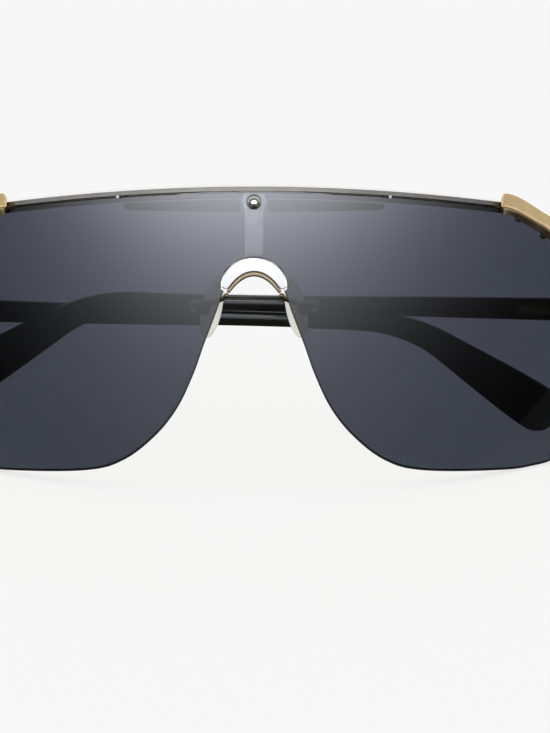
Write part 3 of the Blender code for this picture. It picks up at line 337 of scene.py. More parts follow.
TURN, SHIFT, LEAN = stand()


def sheet_depth(across, behind, radius):
    """How far back a sheet bent to a circle lies: the circle's radius less the height of the circle,
    made smaller by the distance behind the lens's front, at a distance across."""
    return radius - np.sqrt((radius - behind) ** 2 - across ** 2)


def bent(flat, behind, sizes):
    """Flat points, across and up, put on the sheet that lies a distance behind the lens's front."""
    across, up = flat[..., 0], flat[..., 1]
    behind = np.broadcast_to(behind, across.shape)
    return stood(np.stack([across, sheet_depth(across, behind, sizes.lens_radius), up], axis=-1))


# Meshes

def write_piece(name, points, faces, finish, body, nodes, sharp=35.0):
    """Make a piece from arrays of points and faces, turned outwards if its volume comes out negative,
    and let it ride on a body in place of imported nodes."""
    volume = sum(
        np.einsum("ij,ij->i", points[f[:, 0]], np.cross(points[f[:, k]], points[f[:, k + 1]])).sum()
        for f in faces for k in range(1, f.shape[1] - 1)
    )
    polygons = [row for f in faces for row in (f if volume > 0 else f[:, ::-1]).tolist()]
    mesh = bpy.data.meshes.new(name)
    mesh.from_pydata(points.tolist(), [], polygons)
    mesh.shade_smooth()
    mesh.set_sharp_from_angle(angle=math.radians(sharp))
    piece = bpy.data.objects.new(name, mesh)
    bpy.context.scene.collection.objects.link(piece)
    mesh.materials.append(FINISHES[finish]())
    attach(piece, body)
    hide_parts(*nodes)
    return piece


def skin(name, rings, hearts, finish, body, nodes, sharp=35.0):
    """A closed skin over rings of points, one after another along a piece. Each ring closes on itself,
    and the first and last are closed by fans to their hearts."""
    count, around = rings.shape[:2]
    ring, spoke = np.meshgrid(np.arange(count - 1), np.arange(around), indexing="ij")
    following = (spoke + 1) % around
    quads = np.stack([
        ring * around + spoke, ring * around + following,
        (ring + 1) * around + following, (ring + 1) * around + spoke,
    ], axis=-1).reshape(-1, 4)
    spokes = np.arange(around)
    turned = (spokes + 1) % around
    first = np.column_stack([turned, spokes, np.full(around, count * around)])
    base = (count - 1) * around
    last = np.column_stack([base + spokes, base + turned, np.full(around, count * around + 1)])
    points = np.vstack([rings.reshape(-1, 3), hearts])
    return write_piece(name, points, [quads, first, last], finish, body, nodes, sharp)


def blended(bottom, top, left, right):
    """A Coons patch: the mean of its two rulings, bottom to top and left to right, less the plain
    bilinear patch over its corners. Rows go up and columns across."""
    u = np.linspace(0, 1, len(bottom))[None, :, None]
    v = np.linspace(0, 1, len(left))[:, None, None]
    corners = (
        (1 - u) * (1 - v) * bottom[0] + u * (1 - v) * bottom[-1]
        + (1 - u) * v * top[0] + u * v * top[-1]
    )
    rising = (1 - v) * bottom[None] + v * top[None]
    crossing = (1 - u) * left[:, None] + u * right[:, None]
    return rising + crossing - corners


def panel(name, edges, place, depths, edge, finish, body, nodes):
    """A closed panel between four edge curves: a Coons patch in front, its copy behind, and a rim
    whose two corners are cut by the edge's width."""
    bottom, top, left, right = edges
    across, up = len(bottom), len(left)
    loop = np.vstack([bottom, right[1:], top[::-1][1:], left[::-1][1:-1]])
    trimmed = inset(loop, edge)
    low = trimmed[:across]
    high = trimmed[across + up - 2:2 * across + up - 2][::-1]
    end = trimmed[across - 1:across + up - 1]
    start = np.vstack([trimmed[:1], trimmed[:-(up - 1):-1], high[:1]])
    grid = blended(low, high, start, end)
    front, back = depths
    layers = [
        place(grid, front).reshape(-1, 3), place(grid, back).reshape(-1, 3),
        place(loop, front + edge), place(loop, back - edge),
    ]
    row, column = np.meshgrid(np.arange(up - 1), np.arange(across - 1), indexing="ij")
    cell = row * across + column
    face = np.stack([cell, cell + 1, cell + across + 1, cell + across], axis=-1).reshape(-1, 4)
    rim = np.concatenate([
        np.arange(across), np.arange(1, up) * across + across - 1,
        (up - 1) * across + np.arange(across - 2, -1, -1), np.arange(up - 2, 0, -1) * across,
    ])
    size = across * up
    rings = [rim, 2 * size + np.arange(len(loop)), 2 * size + len(loop) + np.arange(len(loop)), rim + size]
    strips = [
        np.column_stack([a, b, np.roll(b, -1), np.roll(a, -1)]) for a, b in zip(rings, rings[1:])
    ]
    faces = [face, face[:, ::-1] + size, *strips]
    return write_piece(name, np.vstack(layers), faces, finish, body, nodes, 30.0)


def tube(name, path, radius, finish, body, nodes):
    """A round wire: circles square to a path, sized by a superellipse where its ends round off."""
    total = lengths_along(path)[-1]
    along = stations(total, radius, radius, 60)
    centres = at_lengths(path, along)
    ahead = np.gradient(centres, axis=0)
    ahead /= np.linalg.norm(ahead, axis=1)[:, None]
    first = np.cross(ahead, (0.0, 0.0, 1.0))
    first /= np.linalg.norm(first, axis=1)[:, None]
    second = np.cross(ahead, first)
    turns = np.linspace(0, 2 * math.pi, 20, endpoint=False)[None, :, None]
    size = (radius * closing(along, total, radius, radius))[:, None, None]
    rings = centres[:, None] + size * (np.cos(turns) * first[:, None] + np.sin(turns) * second[:, None])
    return skin(name, rings, centres[[0, -1]], finish, body, nodes)


def turned_piece(name, profile, up, finish, nodes):
    """A turned piece: its profile of radius and depth carried round the centre screw's axis."""
    radius, deep = np.array(profile, float).T
    turns = np.linspace(0, 2 * math.pi, 48, endpoint=False)
    rings = np.stack([
        radius[:, None] * np.cos(turns), np.broadcast_to(deep[:, None], (len(deep), len(turns))),
        up + radius[:, None] * np.sin(turns),
    ], axis=-1)
    hearts = np.array([(0, deep[0], up), (0, deep[-1], up)])
    return skin(name, stood(rings), stood(hearts), finish, "frame", nodes)


def pebble(name, centre, halves, axes, power, finish, body, nodes):
    """A box with soft edges: a superellipsoid, each of whose three cosines is raised to one power."""
    turns = np.linspace(0, 2 * math.pi, 40, endpoint=False)
    climb = np.linspace(-math.pi / 2, math.pi / 2, 22)[1:-1, None]

    def eased(value):
        return np.sign(value) * np.abs(value) ** power

    shape = np.stack([
        eased(np.cos(climb)) * eased(np.cos(turns)), eased(np.cos(climb)) * eased(np.sin(turns)),
        eased(np.sin(climb)) * np.ones_like(turns),
    ], axis=-1) * halves
    poles = np.array([(0, 0, -halves[2]), (0, 0, halves[2])])
    rings = stood(centre + shape @ axes)
    return skin(name, rings, stood(centre + poles @ axes), finish, body, nodes)


# Materials

def new_finish(name):
    """A material with a Principled BSDF, and its tree."""
    made = bpy.data.materials.new(name)
    made.use_nodes = True
    return made, made.node_tree, made.node_tree.nodes["Principled BSDF"]


def noise(tree, scale, detail, stretch=(1, 1, 1)):
    """A noise texture on Object coordinates, stretched along the axes."""
    place = tree.nodes.new("ShaderNodeTexCoord")
    mapping = tree.nodes.new("ShaderNodeMapping")
    mapping.inputs["Scale"].default_value = stretch
    texture = tree.nodes.new("ShaderNodeTexNoise")
    texture.inputs["Scale"].default_value = scale
    texture.inputs["Detail"].default_value = detail
    tree.links.new(place.outputs["Object"], mapping.inputs["Vector"])
    tree.links.new(mapping.outputs["Vector"], texture.inputs["Vector"])
    return texture.outputs["Fac"]


def spanned(tree, source, low, high):
    """A value taken from its usual noise range to a low and a high."""
    span = tree.nodes.new("ShaderNodeMapRange")
    span.inputs["From Min"].default_value = 0.3
    span.inputs["From Max"].default_value = 0.7
    span.inputs["To Min"].default_value = low
    span.inputs["To Max"].default_value = high
    tree.links.new(source, span.inputs["Value"])
    return span.outputs["Result"]


def shaded(tree, source, colour, darker, lighter):
    """A colour that varies between a darker and a lighter share of itself."""
    ramp = tree.nodes.new("ShaderNodeValToRGB")
    ramp.color_ramp.elements[0].position = 0.3
    ramp.color_ramp.elements[1].position = 0.7
    ramp.color_ramp.elements[0].color = (*[c * darker for c in colour], 1)
    ramp.color_ramp.elements[1].color = (*[min(c * lighter, 1) for c in colour], 1)
    tree.links.new(source, ramp.inputs["Fac"])
    return ramp.outputs["Color"]


def bumped(tree, shader, source, strength, distance):
    """A bump on a shader's normal."""
    bump = tree.nodes.new("ShaderNodeBump")
    bump.inputs["Strength"].default_value = strength
    bump.inputs["Distance"].default_value = distance
    tree.links.new(source, bump.inputs["Height"])
    tree.links.new(bump.outputs["Normal"], shader.inputs["Normal"])


def worked(tree, operation, first, second=None):
    """A Math node on one or two values, each a socket or a number."""
    node = tree.nodes.new("ShaderNodeMath")
    node.operation = operation
    for socket, value in zip(node.inputs, (first, second)):
        if isinstance(value, bpy.types.NodeSocket):
            tree.links.new(value, socket)
        elif value is not None:
            socket.default_value = value
    return node.outputs["Value"]


def eased_between(tree, value, low, high):
    """A value eased from 0 at low to 1 at high."""
    span = tree.nodes.new("ShaderNodeMapRange")
    span.interpolation_type = "SMOOTHSTEP"
    span.inputs["From Min"].default_value = low
    span.inputs["From Max"].default_value = high
    tree.links.new(value, span.inputs["Value"])
    return span.outputs["Result"]


def plated(name, colour, roughness, grain, stretch=(1, 1, 1)):
    """Plated metal: cloudy colour, fine scratches in the gloss and a barely felt orange peel."""
    if name in bpy.data.materials:
        return bpy.data.materials[name]
    made, tree, shader = new_finish(name)
    shader.inputs["Metallic"].default_value = 1.0
    clouds = noise(tree, 350, 3)
    tree.links.new(shaded(tree, clouds, colour, 0.93, 1.05), shader.inputs["Base Color"])
    scratches = noise(tree, grain, 4, stretch)
    gloss = spanned(tree, scratches, roughness * 0.9, roughness * 1.12)
    tree.links.new(gloss, shader.inputs["Roughness"])
    bumped(tree, shader, noise(tree, 1200, 1), 0.03, 0.00002)
    return made


def pale_gold():
    """Satin-polished pale gold plating."""
    return plated("pale_gold_plating", bpy.context.scene.sunglasses_finish.gold, 0.24, 2600)


def shade_darkened_gold():
    """The arched rail's and the pad arms' gold, darkened to brown as painted shade."""
    return plated("shade_darkened_gold_plating", bpy.context.scene.sunglasses_finish.shade_darkened_gold, 0.20, 2600)


def champagne():
    """The brow bar's silvery gold, brushed along its length."""
    colour = bpy.context.scene.sunglasses_finish.champagne
    return plated("champagne_plating", colour, 0.22, 2600, (0.08, 1, 1))


def gunmetal():
    """Dark satin plating of the stiffening plates."""
    return plated("gunmetal_plating", bpy.context.scene.sunglasses_finish.gunmetal, 0.24, 2600)


def bright_metal():
    """Mirror-polished pale metal."""
    return plated("bright_plating", bpy.context.scene.sunglasses_finish.bright, 0.10, 3000)


def small_steel():
    """Turned steel of screws, nuts and rivets."""
    return plated("turned_steel", bpy.context.scene.sunglasses_finish.steel, 0.24, 4000)


def black_acetate():
    """Tumbled black acetate: deep gloss, faint clouds under it and hairline polishing marks."""
    if "tumbled_acetate" in bpy.data.materials:
        return bpy.data.materials["tumbled_acetate"]
    made, tree, shader = new_finish("tumbled_acetate")
    colour = bpy.context.scene.sunglasses_finish.acetate
    tree.links.new(shaded(tree, noise(tree, 90, 3), colour, 0.7, 1.6), shader.inputs["Base Color"])
    marks = noise(tree, 1800, 4, (0.15, 1, 1))
    tree.links.new(spanned(tree, marks, 0.10, 0.20), shader.inputs["Roughness"])
    shader.inputs["IOR"].default_value = 1.48
    shader.inputs["Coat Weight"].default_value = 0.3
    shader.inputs["Coat Roughness"].default_value = 0.05
    bumped(tree, shader, noise(tree, 260, 2), 0.05, 0.00005)
    return made


def smoke_lens():
    """Smoke-tinted plastic with a mirror flash coat: a smooth refracting shell, which lets warm light
    through to the floor."""
    if "smoke_tint" in bpy.data.materials:
        return bpy.data.materials["smoke_tint"]
    made, tree, shader = new_finish("smoke_tint")
    colour = bpy.context.scene.sunglasses_finish.lens_tint
    tree.links.new(shaded(tree, noise(tree, 18, 2), colour, 0.96, 1.04), shader.inputs["Base Color"])
    shader.inputs["Transmission Weight"].default_value = 1.0
    shader.inputs["IOR"].default_value = 1.5
    shader.inputs["Coat Weight"].default_value = 1.0
    shader.inputs["Coat Roughness"].default_value = 0.0
    shader.inputs["Coat IOR"].default_value = 2.0
    tree.links.new(spanned(tree, noise(tree, 500, 3), 0.0, 0.02), shader.inputs["Roughness"])
    clear = tree.nodes.new("ShaderNodeBsdfTransparent")
    clear.inputs["Color"].default_value = (*bpy.context.scene.sunglasses_finish.lens_shade, 1)
    rays = tree.nodes.new("ShaderNodeLightPath")
    mix = tree.nodes.new("ShaderNodeMixShader")
    past = worked(tree, "MAXIMUM", rays.outputs["Is Shadow Ray"], rays.outputs["Is Diffuse Ray"])
    tree.links.new(past, mix.inputs["Fac"])
    tree.links.new(shader.outputs["BSDF"], mix.inputs[1])
    tree.links.new(clear.outputs["BSDF"], mix.inputs[2])
    tree.links.new(mix.outputs["Shader"], tree.nodes["Material Output"].inputs["Surface"])
    return made


def dark_edge():
    """The lens's polished edge, where the tint is at its deepest."""
    if "dark_edge" in bpy.data.materials:
        return bpy.data.materials["dark_edge"]
    made, tree, shader = new_finish("dark_edge")
    colour = bpy.context.scene.sunglasses_finish.lens_rim
    tree.links.new(shaded(tree, noise(tree, 400, 2), colour, 0.8, 1.2), shader.inputs["Base Color"])
    tree.links.new(spanned(tree, noise(tree, 900, 2), 0.16, 0.24), shader.inputs["Roughness"])
    return made


def clear_silicone():
    """Soft clear silicone: frosted, slightly milky and faintly uneven."""
    if "frosted_silicone" in bpy.data.materials:
        return bpy.data.materials["frosted_silicone"]
    made, tree, shader = new_finish("frosted_silicone")
    colour = bpy.context.scene.sunglasses_finish.silicone
    tree.links.new(shaded(tree, noise(tree, 160, 2), colour, 0.96, 1.03), shader.inputs["Base Color"])
    shader.inputs["Transmission Weight"].default_value = 0.15
    shader.inputs["IOR"].default_value = 1.41
    tree.links.new(spanned(tree, noise(tree, 700, 2), 0.26, 0.34), shader.inputs["Roughness"])
    return made


FINISHES = {
    "gold": pale_gold, "shade_darkened_gold": shade_darkened_gold, "champagne": champagne, "gunmetal": gunmetal,
    "bright": bright_metal, "steel": small_steel,
    "acetate": black_acetate, "lens": smoke_lens, "edge": dark_edge, "silicone": clear_silicone,
}


# Lens and brow

def top_edge(across, sizes):
    """Height of the lens's top edge: a parabola that falls by the drop at the edge's end."""
    reach = TOP_REACH_SHARE * sizes.lens_half_width
    return sizes.lens_height - sizes.lens_top_drop * (across / reach) ** 2


def nose_places(sizes):
    """The cut-out's cusp height and the height of its arch's middle."""
    cusp = 0.6635 * sizes.lens_height
    return cusp, cusp + 1.0 * MM


def lens_edges(sizes):
    """The lens's four edges: foot and nose cut-out below, brow edge above, and the two sides. The
    cut-out's arch is an ellipse, and the rest is drawn through the shares. Above the arch, the
    cusp and the foot, the brow edge's points keep to stretches of their own."""
    wide, tall = sizes.lens_half_width, sizes.lens_height
    cusp, arch = nose_places(sizes)
    steps, arch_spare = 16, 0.55 * MM
    reach = TOP_REACH_SHARE * wide
    side = [(a * wide, b * tall) for a, b in LENS_SIDE_SHARES]
    foot = [(a * wide, b * tall) for a, b in LENS_FOOT_SHARES]
    flare_width = 0.639 * wide - sizes.cusp_half_width
    flare = [(sizes.cusp_half_width + a * flare_width, b * cusp) for a, b in FLARE_SHARES]
    corner = (reach, top_edge(reach, sizes))
    rim = through([corner, *side, *foot, *flare, (sizes.cusp_half_width, cusp)], steps)
    split = steps * len(side)
    turns = np.linspace(math.radians(-5), math.pi / 2, 60)
    curve = np.column_stack([
        (sizes.cusp_half_width + arch_spare) * np.cos(turns), arch + sizes.arch_rise * np.sin(turns),
    ])
    curve[-1, 0] = 0
    below = np.vstack([rim[split:], curve])[::-1]
    along = lengths_along(below)
    arch_length = along[len(curve) - 1]
    cusp_length = along[len(curve)]
    wanted = np.concatenate([
        np.linspace(0, arch_length, ARCH_STEPS + 1)[:-1],
        np.linspace(arch_length, cusp_length, CUSP_STEPS + 1)[:-1],
        np.linspace(cusp_length, along[-1], FOOT_STEPS + 1),
    ])
    half = at_lengths(below, wanted)
    above = [0, 12 * MM, 14.5 * MM, reach]
    spans = np.interp(wanted, [0, arch_length, cusp_length, along[-1]], above)
    upper = np.column_stack([spans, top_edge(spans, sizes)])
    right = spread(rim[:split + 1][::-1], 48)
    flip = np.array((-1, 1))
    bottom = np.vstack([half[:0:-1] * flip, half])
    top = np.vstack([upper[:0:-1] * flip, upper])
    return bottom, top, right * flip, right


def build_lens(sizes):
    """The lens: a Coons patch between its edges, bent. Its rims: thin dark strips carried along the
    foot and the sides from the nose cut-out's cusps, hardly proud of the lens."""
    bottom, top, left, right = lens_edges(sizes)
    panel(
        "lens", (bottom, top, left, right), lambda flat, behind: bent(flat, behind, sizes),
        (0.0, sizes.lens_thickness), sizes.lens_edge, "lens", "frame", ["shield_lens"],
    )
    cusp = len(bottom) // 2 + ARCH_STEPS + CUSP_STEPS
    path = np.vstack([bottom[cusp:], right[1:]])
    aside = aside_of(path)
    proud = 0.02 * MM
    front, back = -proud, sizes.lens_thickness + proud
    corners = np.array([(front, 0), (back, 0), (back, sizes.lens_rim), (front, sizes.lens_rim)])
    section = filleted(corners, 0.06 * MM, 2)
    flat = path[:, None] + aside[:, None] * section[:, 1:]
    middle = path[[0, -1]] + aside[[0, -1]] * sizes.lens_rim / 2
    for label, side in SIDES.items():
        rings = bent(flat * np.array((side, 1)), section[:, 0], sizes)
        hearts = bent(middle * np.array((side, 1)), sizes.lens_thickness / 2, sizes)
        skin(f"lens_rim_{label}", rings, hearts, "edge", "frame", [])


def build_brow_bar(sizes):
    """The bar: an L-shaped section, a lip over the lens and a band behind it, carried along the
    lens's top edge and scaled down over its last stretch at both ends. The lip leans back a little."""
    reach = 0.742 * sizes.lens_half_width
    gap, lip, end = sizes.gap, sizes.bar_lip, 0.25 * MM
    lip_foot, lip_top = -0.2 * MM, -0.155 * MM
    front = sizes.lens_thickness + gap
    rear = front + sizes.bar_thickness
    corners = np.array([
        (lip_foot, gap), (lip_top, gap + lip), (rear, gap + lip), (rear, -sizes.bar_band),
        (front, -sizes.bar_band), (front, gap),
    ])
    section = filleted(corners, sizes.bar_edge, 3)
    heart = np.array(((front + rear) / 2, gap + lip / 2))
    along = stations(2 * reach, end, end, 150)
    across = along - reach
    scale = 0.82 + 0.18 * closing(along, 2 * reach, end, end)
    carried = heart + (section - heart) * scale[:, None, None]
    places = np.repeat(across[:, None], len(section), axis=1)
    flat = np.stack([places, top_edge(places, sizes) + carried[..., 1]], axis=-1)
    rings = bent(flat, carried[..., 0], sizes)
    ends = across[[0, -1]]
    hearts = bent(np.column_stack([ends, top_edge(ends, sizes) + heart[1]]), heart[0], sizes)
    skin("brow_bar_piece", rings, hearts, "champagne", "frame", ["brow_bar"], 25.0)


def build_brow_plates(sizes):
    """The stiffening plates: Coons patches under the band, with a quarter-round outer corner."""
    inner, outer = 2.87 * MM, 0.3834 * sizes.lens_half_width
    corner, height, edge = 1.1 * MM, 2.6 * MM, 0.12 * MM
    front = sizes.lens_thickness + sizes.gap
    for label, side in SIDES.items():
        places = np.linspace(inner, outer, 40)
        upper = np.column_stack([places, top_edge(places, sizes) - sizes.bar_band - sizes.gap])
        foot = upper[0, 1] - height
        turns = np.linspace(0, math.pi / 2, 9)
        round_corner = np.column_stack([
            outer - corner + corner * np.sin(turns), foot + corner - corner * np.cos(turns)
        ])
        lower = spread(np.vstack([[[inner, foot]], round_corner[:5]]), 40)
        right = spread(np.vstack([round_corner[4:], upper[-1:]]), 12)
        left = np.column_stack([np.full(12, inner), np.linspace(foot, upper[0, 1], 12)])
        edges = [curve * np.array((side, 1)) for curve in (lower, upper, left, right)]
        panel(
            f"brow_plate_{label}_piece", edges, lambda flat, behind: bent(flat, behind, sizes),
            (front, front + sizes.bar_thickness), edge, "gunmetal", "frame",
            [f"brow_plate_{label}"],
        )


def build_claws(sizes):
    """The claws: small soft-edged prongs in front of the bar's lip."""
    across = 28.85 * MM
    middle = top_edge(across, sizes) + 0.125 * MM
    for label, side in SIDES.items():
        turn = math.asin(across / sizes.lens_radius) * side
        deep = sheet_depth(across, -0.75 * MM, sizes.lens_radius)
        axes = np.array([
            (math.cos(turn), math.sin(turn), 0), (-math.sin(turn), math.cos(turn), 0), (0, 0, 1)
        ])
        pebble(
            f"brow_claw_{label}_piece", np.array((side * across, deep, middle)),
            np.array((0.35, 0.25, 0.42)) * MM, axes, 0.4, "steel", "frame", [f"brow_claw_{label}"],
        )


# Centre screw and bridge

def build_centre(sizes):
    """The screw, its washer and a black ring in the groove between them, which is a painted shadow: fine
    profiles turned round the screw's axis.
    """
    up = sizes.lens_height - sizes.eyelet_drop
    turns = np.linspace(0.06, math.pi / 2, 10)
    dome = np.column_stack([0.70 * np.sin(turns), -1.66 + 0.09 * (1 - np.cos(turns))])
    head = np.array([
        *dome, (0.74, -1.50), (0.78, -1.36), (0.98, -1.36), (1.07, -1.30), (1.10, -1.20), (1.10, -1.05),
        (0.60, -1.05),
    ]) * MM
    strut, rear_washer, nut, beyond = 0.9 * MM, 0.45 * MM, 1.3 * MM, 0.5 * MM
    tail = (head[-1, 0], sizes.lens_thickness + 3 * sizes.gap + strut + rear_washer + nut + beyond)
    screw = np.vstack([head, [tail]])
    turned_piece("centre_screw_piece", screw, up, "bright", ["centre_screw"])
    washer = np.array([
        (0.90, -0.75), (1.38, -0.75), (1.48, -0.72), (1.54, -0.64), (1.55, -0.36), (1.50, -0.30),
        (0.90, -0.30),
    ]) * MM
    turned_piece("front_washer_piece", washer, up, "champagne", ["front_washer"])
    # A black ring in the groove between the screw's dome and the washer: painted shadow of the groove
    ring = np.array([
        (0.74, -1.40), (0.76, -1.47), (0.84, -1.52), (0.94, -1.50), (1.00, -1.44), (1.02, -1.37),
        (0.74, -1.37),
    ]) * MM
    turned_piece("screw_ring_piece", ring, up, "acetate", [])


def rail_line(sizes):
    """The middle of the arched rail: its height falls with the power 2.1 of the distance across."""
    cusp, arch = nose_places(sizes)
    places = np.linspace(-1, 1, 121)
    half, top, foot = sizes.cusp_half_width - RAIL_INSET, arch + RAIL_RISE, cusp - RAIL_DROP
    return np.column_stack([half * places, top - (top - foot) * np.abs(places) ** 2.1])


def rail_half_width(across, sizes):
    """Half the rail's thickness, which thins to its feet with the square of the distance across."""
    share = across / (sizes.cusp_half_width - RAIL_INSET)
    return (sizes.rail_thickness - (sizes.rail_thickness - sizes.rail_foot) * share ** 2) / 2


def build_bridge(sizes):
    """The rail: a rounded strip carried along its arch. The crescent: a Coons patch between the
    rail and the lens's arch, with round horns."""
    path, end = rail_line(sizes), 0.3 * MM
    total = lengths_along(path)[-1]
    along = stations(total, end, end, 90)
    line = at_lengths(path, along)
    aside = aside_of(line)
    half = rail_half_width(line[:, 0], sizes)[:, None] * np.array((1, 1, -1, -1))
    depth = np.broadcast_to(np.array((RAIL_FRONT, RAIL_BACK, RAIL_BACK, RAIL_FRONT)), half.shape)
    section = filleted(np.stack([depth, half], axis=-1), 0.33 * MM, 6)
    heart = np.array(((RAIL_FRONT + RAIL_BACK) / 2, 0))
    scale = 0.75 + 0.25 * closing(along, total, end, end)
    carried = heart + (section - heart) * scale[:, None, None]
    flat = line[:, None] + aside[:, None] * carried[..., 1:]
    rings = np.stack([flat[..., 0], carried[..., 0], flat[..., 1]], axis=-1)
    hearts = np.column_stack([line[[0, -1], 0], (heart[0],) * 2, line[[0, -1], 1]])
    # The rail's brown is gold darkened as painted shade
    skin("bridge_rail_piece", stood(rings), stood(hearts), "shade_darkened_gold", "frame", ["bridge_rail"])

    cusp, arch = nose_places(sizes)
    horn = np.array((sizes.cusp_half_width - 0.50 * MM, arch + 0.35 * MM))
    turns = np.linspace(0, math.pi / 2, 40)
    seam, wide = 0.12 * MM, sizes.cusp_half_width + 0.43 * MM
    upper = np.column_stack([wide * np.cos(turns), arch + (sizes.arch_rise - seam) * np.sin(turns)])
    upper[-1, 0] = 0
    above = path + aside_of(path) * (rail_half_width(path[:, 0], sizes) + seam)[:, None]
    lower = above[(above[:, 0] >= -1e-9) & (above[:, 1] > horn[1])]
    horn_radius = 0.85 * MM
    round_turns = np.linspace(-math.pi * 0.78, -math.pi * 0.08, 12)
    horn_end = horn + horn_radius * np.column_stack([np.cos(round_turns), np.sin(round_turns)])
    flip = np.array((-1, 1))
    under = spread(np.vstack([lower, horn_end[:3]]), 36)
    over = spread(upper[::-1], 36)
    end = spread(np.vstack([horn_end[2:], upper[:1]]), 10)
    edges = [
        np.vstack([under[:0:-1] * flip, under]), np.vstack([over[:0:-1] * flip, over]), end * flip, end
    ]

    def flat_place(points, deep):
        level = np.full(points.shape[:-1], deep)
        return stood(np.stack([points[..., 0], level, points[..., 1]], axis=-1))

    panel(
        "bridge_saddle_piece", edges, flat_place, (-0.25 * MM, 2.0 * MM), 0.15 * MM, "bright", "frame",
        ["bridge_saddle"],
    )


# Nose pads

def pad_axes(side):
    """A pad's own axes as rows: its X faces the nose, its Y is the rocking axis, its Z is up."""
    turn = math.pi / 2 + side * (math.pi / 2 - PAD_SPLAY)
    matrix = Matrix.Rotation(turn, 3, "Z") @ Matrix.Rotation(PAD_SLANT, 3, "Y")
    return np.array(matrix.transposed())


def build_pads(sizes):
    """The pads: egg-shaped pillows whose outline is an ellipse that narrows upwards and whose
    thickness follows a superellipse, dished in front. The arms: wires on cubic Bezier curves, from
    the rail's feet out and round to the pads' boxes."""
    lift, power, back_face = 0.6 * MM, 2.6, 1.5 * MM
    for label, side in SIDES.items():
        axes, pivot = pad_axes(side), pad_pivot(side)
        turns = np.linspace(0, 2 * math.pi, 72, endpoint=False)
        depth = np.cos(np.linspace(0.07, math.pi - 0.07, 30))[:, None]
        size = (1 - np.abs(depth) ** power) ** (1 / power)
        egg = 1 - np.sin(turns) * 0.133
        middle = back_face + sizes.pad_thickness / 2
        dish = 0.18 * MM * (1 - size ** 2) * (depth > 0)
        shape = np.stack([
            middle + depth * sizes.pad_thickness / 2 - dish + 0 * turns,
            sizes.pad_half_width * np.cos(turns) * egg * size,
            sizes.pad_half_height * np.sin(turns) * size + lift,
        ], axis=-1)
        poles = shape[[0, -1]].mean(axis=1)
        pad = skin(
            f"nose_pad_{label}_piece", stood(pivot + shape @ axes), stood(pivot + poles @ axes),
            "silicone", f"nose_pad_{label}", [f"nose_pad_{label}"],
        )
        radius = sizes.arm_radius
        cusp, _ = nose_places(sizes)
        foot = np.array((
            side * (sizes.cusp_half_width - RAIL_INSET), RAIL_BACK - radius,
            cusp - RAIL_DROP - sizes.rail_foot / 2 - sizes.gap,
        ))
        seat, loop = (pivot + np.array((-back * MM, 0, 0)) @ axes for back in (2.2, 4.9))
        fall = foot + np.array((side * 2.0, 0, -3.2)) * MM
        share = np.linspace(0, 1, 80)[:, None]
        path = stood(
            (1 - share) ** 3 * foot + 3 * share * (1 - share) ** 2 * fall
            + 3 * share ** 2 * (1 - share) * loop + share ** 3 * seat
        )
        # The arms take the same gold, darkened as painted shade
        tube(f"pad_arm_{label}_piece", path, radius, "shade_darkened_gold", "frame", [f"pad_arm_{label}"])


# End pieces

def build_end_pieces(sizes):
    """The bands: a section with a face that leans back, an upright ridge and a bevel in two parts,
    carried along the lens's upper corner and closed by superellipses at both ends. The blocks:
    rounded bars to the hinges."""
    path = through([(a * sizes.lens_half_width, b * sizes.lens_height) for a, b in END_PATH_SHARES], 20)
    total, end = lengths_along(path)[-1], 1.1 * MM
    along = stations(total, end, end, 110)
    line = at_lengths(path, along)
    aside = aside_of(line)
    near, far = -sizes.gap, -sizes.gap - sizes.end_thickness
    flare = np.clip(1 - along / (0.35 * total), 0, 1) ** 2
    half = sizes.end_half_width + (sizes.end_start - sizes.end_half_width) * flare
    deep = np.array((near, far + 1.0 * MM, far, far, far + 0.35 * MM, near - 0.45 * MM, near))
    high = half[:, None] * np.array((1, 1, 0, -0.30, -0.56, -1.08, -1.08))
    corners = np.stack([np.broadcast_to(deep, high.shape), high], axis=-1)
    section = filleted(corners, 0.16 * MM, 4)
    heart = np.array(((near + far) / 2, 0))
    size = closing(along, total, end, end, 3.0)[:, None, None]
    squeeze = np.concatenate([0.45 + 0.55 * size, size], axis=-1)
    carried = heart + (section - heart) * squeeze
    inner, outer, tall, block_end = 70.9 * MM, 73.9 * MM, 2.4 * MM, 0.3 * MM
    half_block = (outer - inner) / 2
    corners = np.array([(-1, -1), (1, -1), (1, 1), (-1, 1)]) * (half_block, tall)
    block = filleted(corners, 0.45 * MM, 5)
    start = sheet_depth(inner, -sizes.gap, sizes.lens_radius) - 1.2 * MM
    flat = line[:, None] + aside[:, None] * carried[..., 1:]
    for label, side in SIDES.items():
        rings = bent(flat * np.array((side, 1)), carried[..., 0], sizes)
        hearts = bent(line[[0, -1]] * np.array((side, 1)), heart[0], sizes)
        skin(f"end_piece_{label}_band", rings, hearts, "gold", "frame", [f"end_piece_{label}"], 20.0)
        pivot = (joint_place(f"temple_{label}_hinge") - SHIFT) @ TURN
        back = pivot[1] - 0.2 * MM
        reach = back - start
        depth = stations(reach, block_end, block_end, 20)
        scale = 0.86 + 0.14 * closing(depth, reach, block_end, block_end)
        shape = block * scale[:, None, None]
        middle = side * (inner + outer) / 2
        level = np.broadcast_to((start + depth)[:, None], shape.shape[:-1])
        rings = np.stack([middle + shape[..., 0], level, pivot[2] + shape[..., 1]], axis=-1)
        hearts = np.array([(middle, start + depth[0], pivot[2]), (middle, start + depth[-1], pivot[2])])
        skin(
            f"end_piece_{label}_block", stood(rings), stood(hearts), "gold", "frame",
            [f"end_piece_{label}"],
        )


# Temples

def joint_place(name):
    """A joint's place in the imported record."""
    return np.array(next(j for j in FRAME["joints"] if j["name"] == name)["pos_m"])


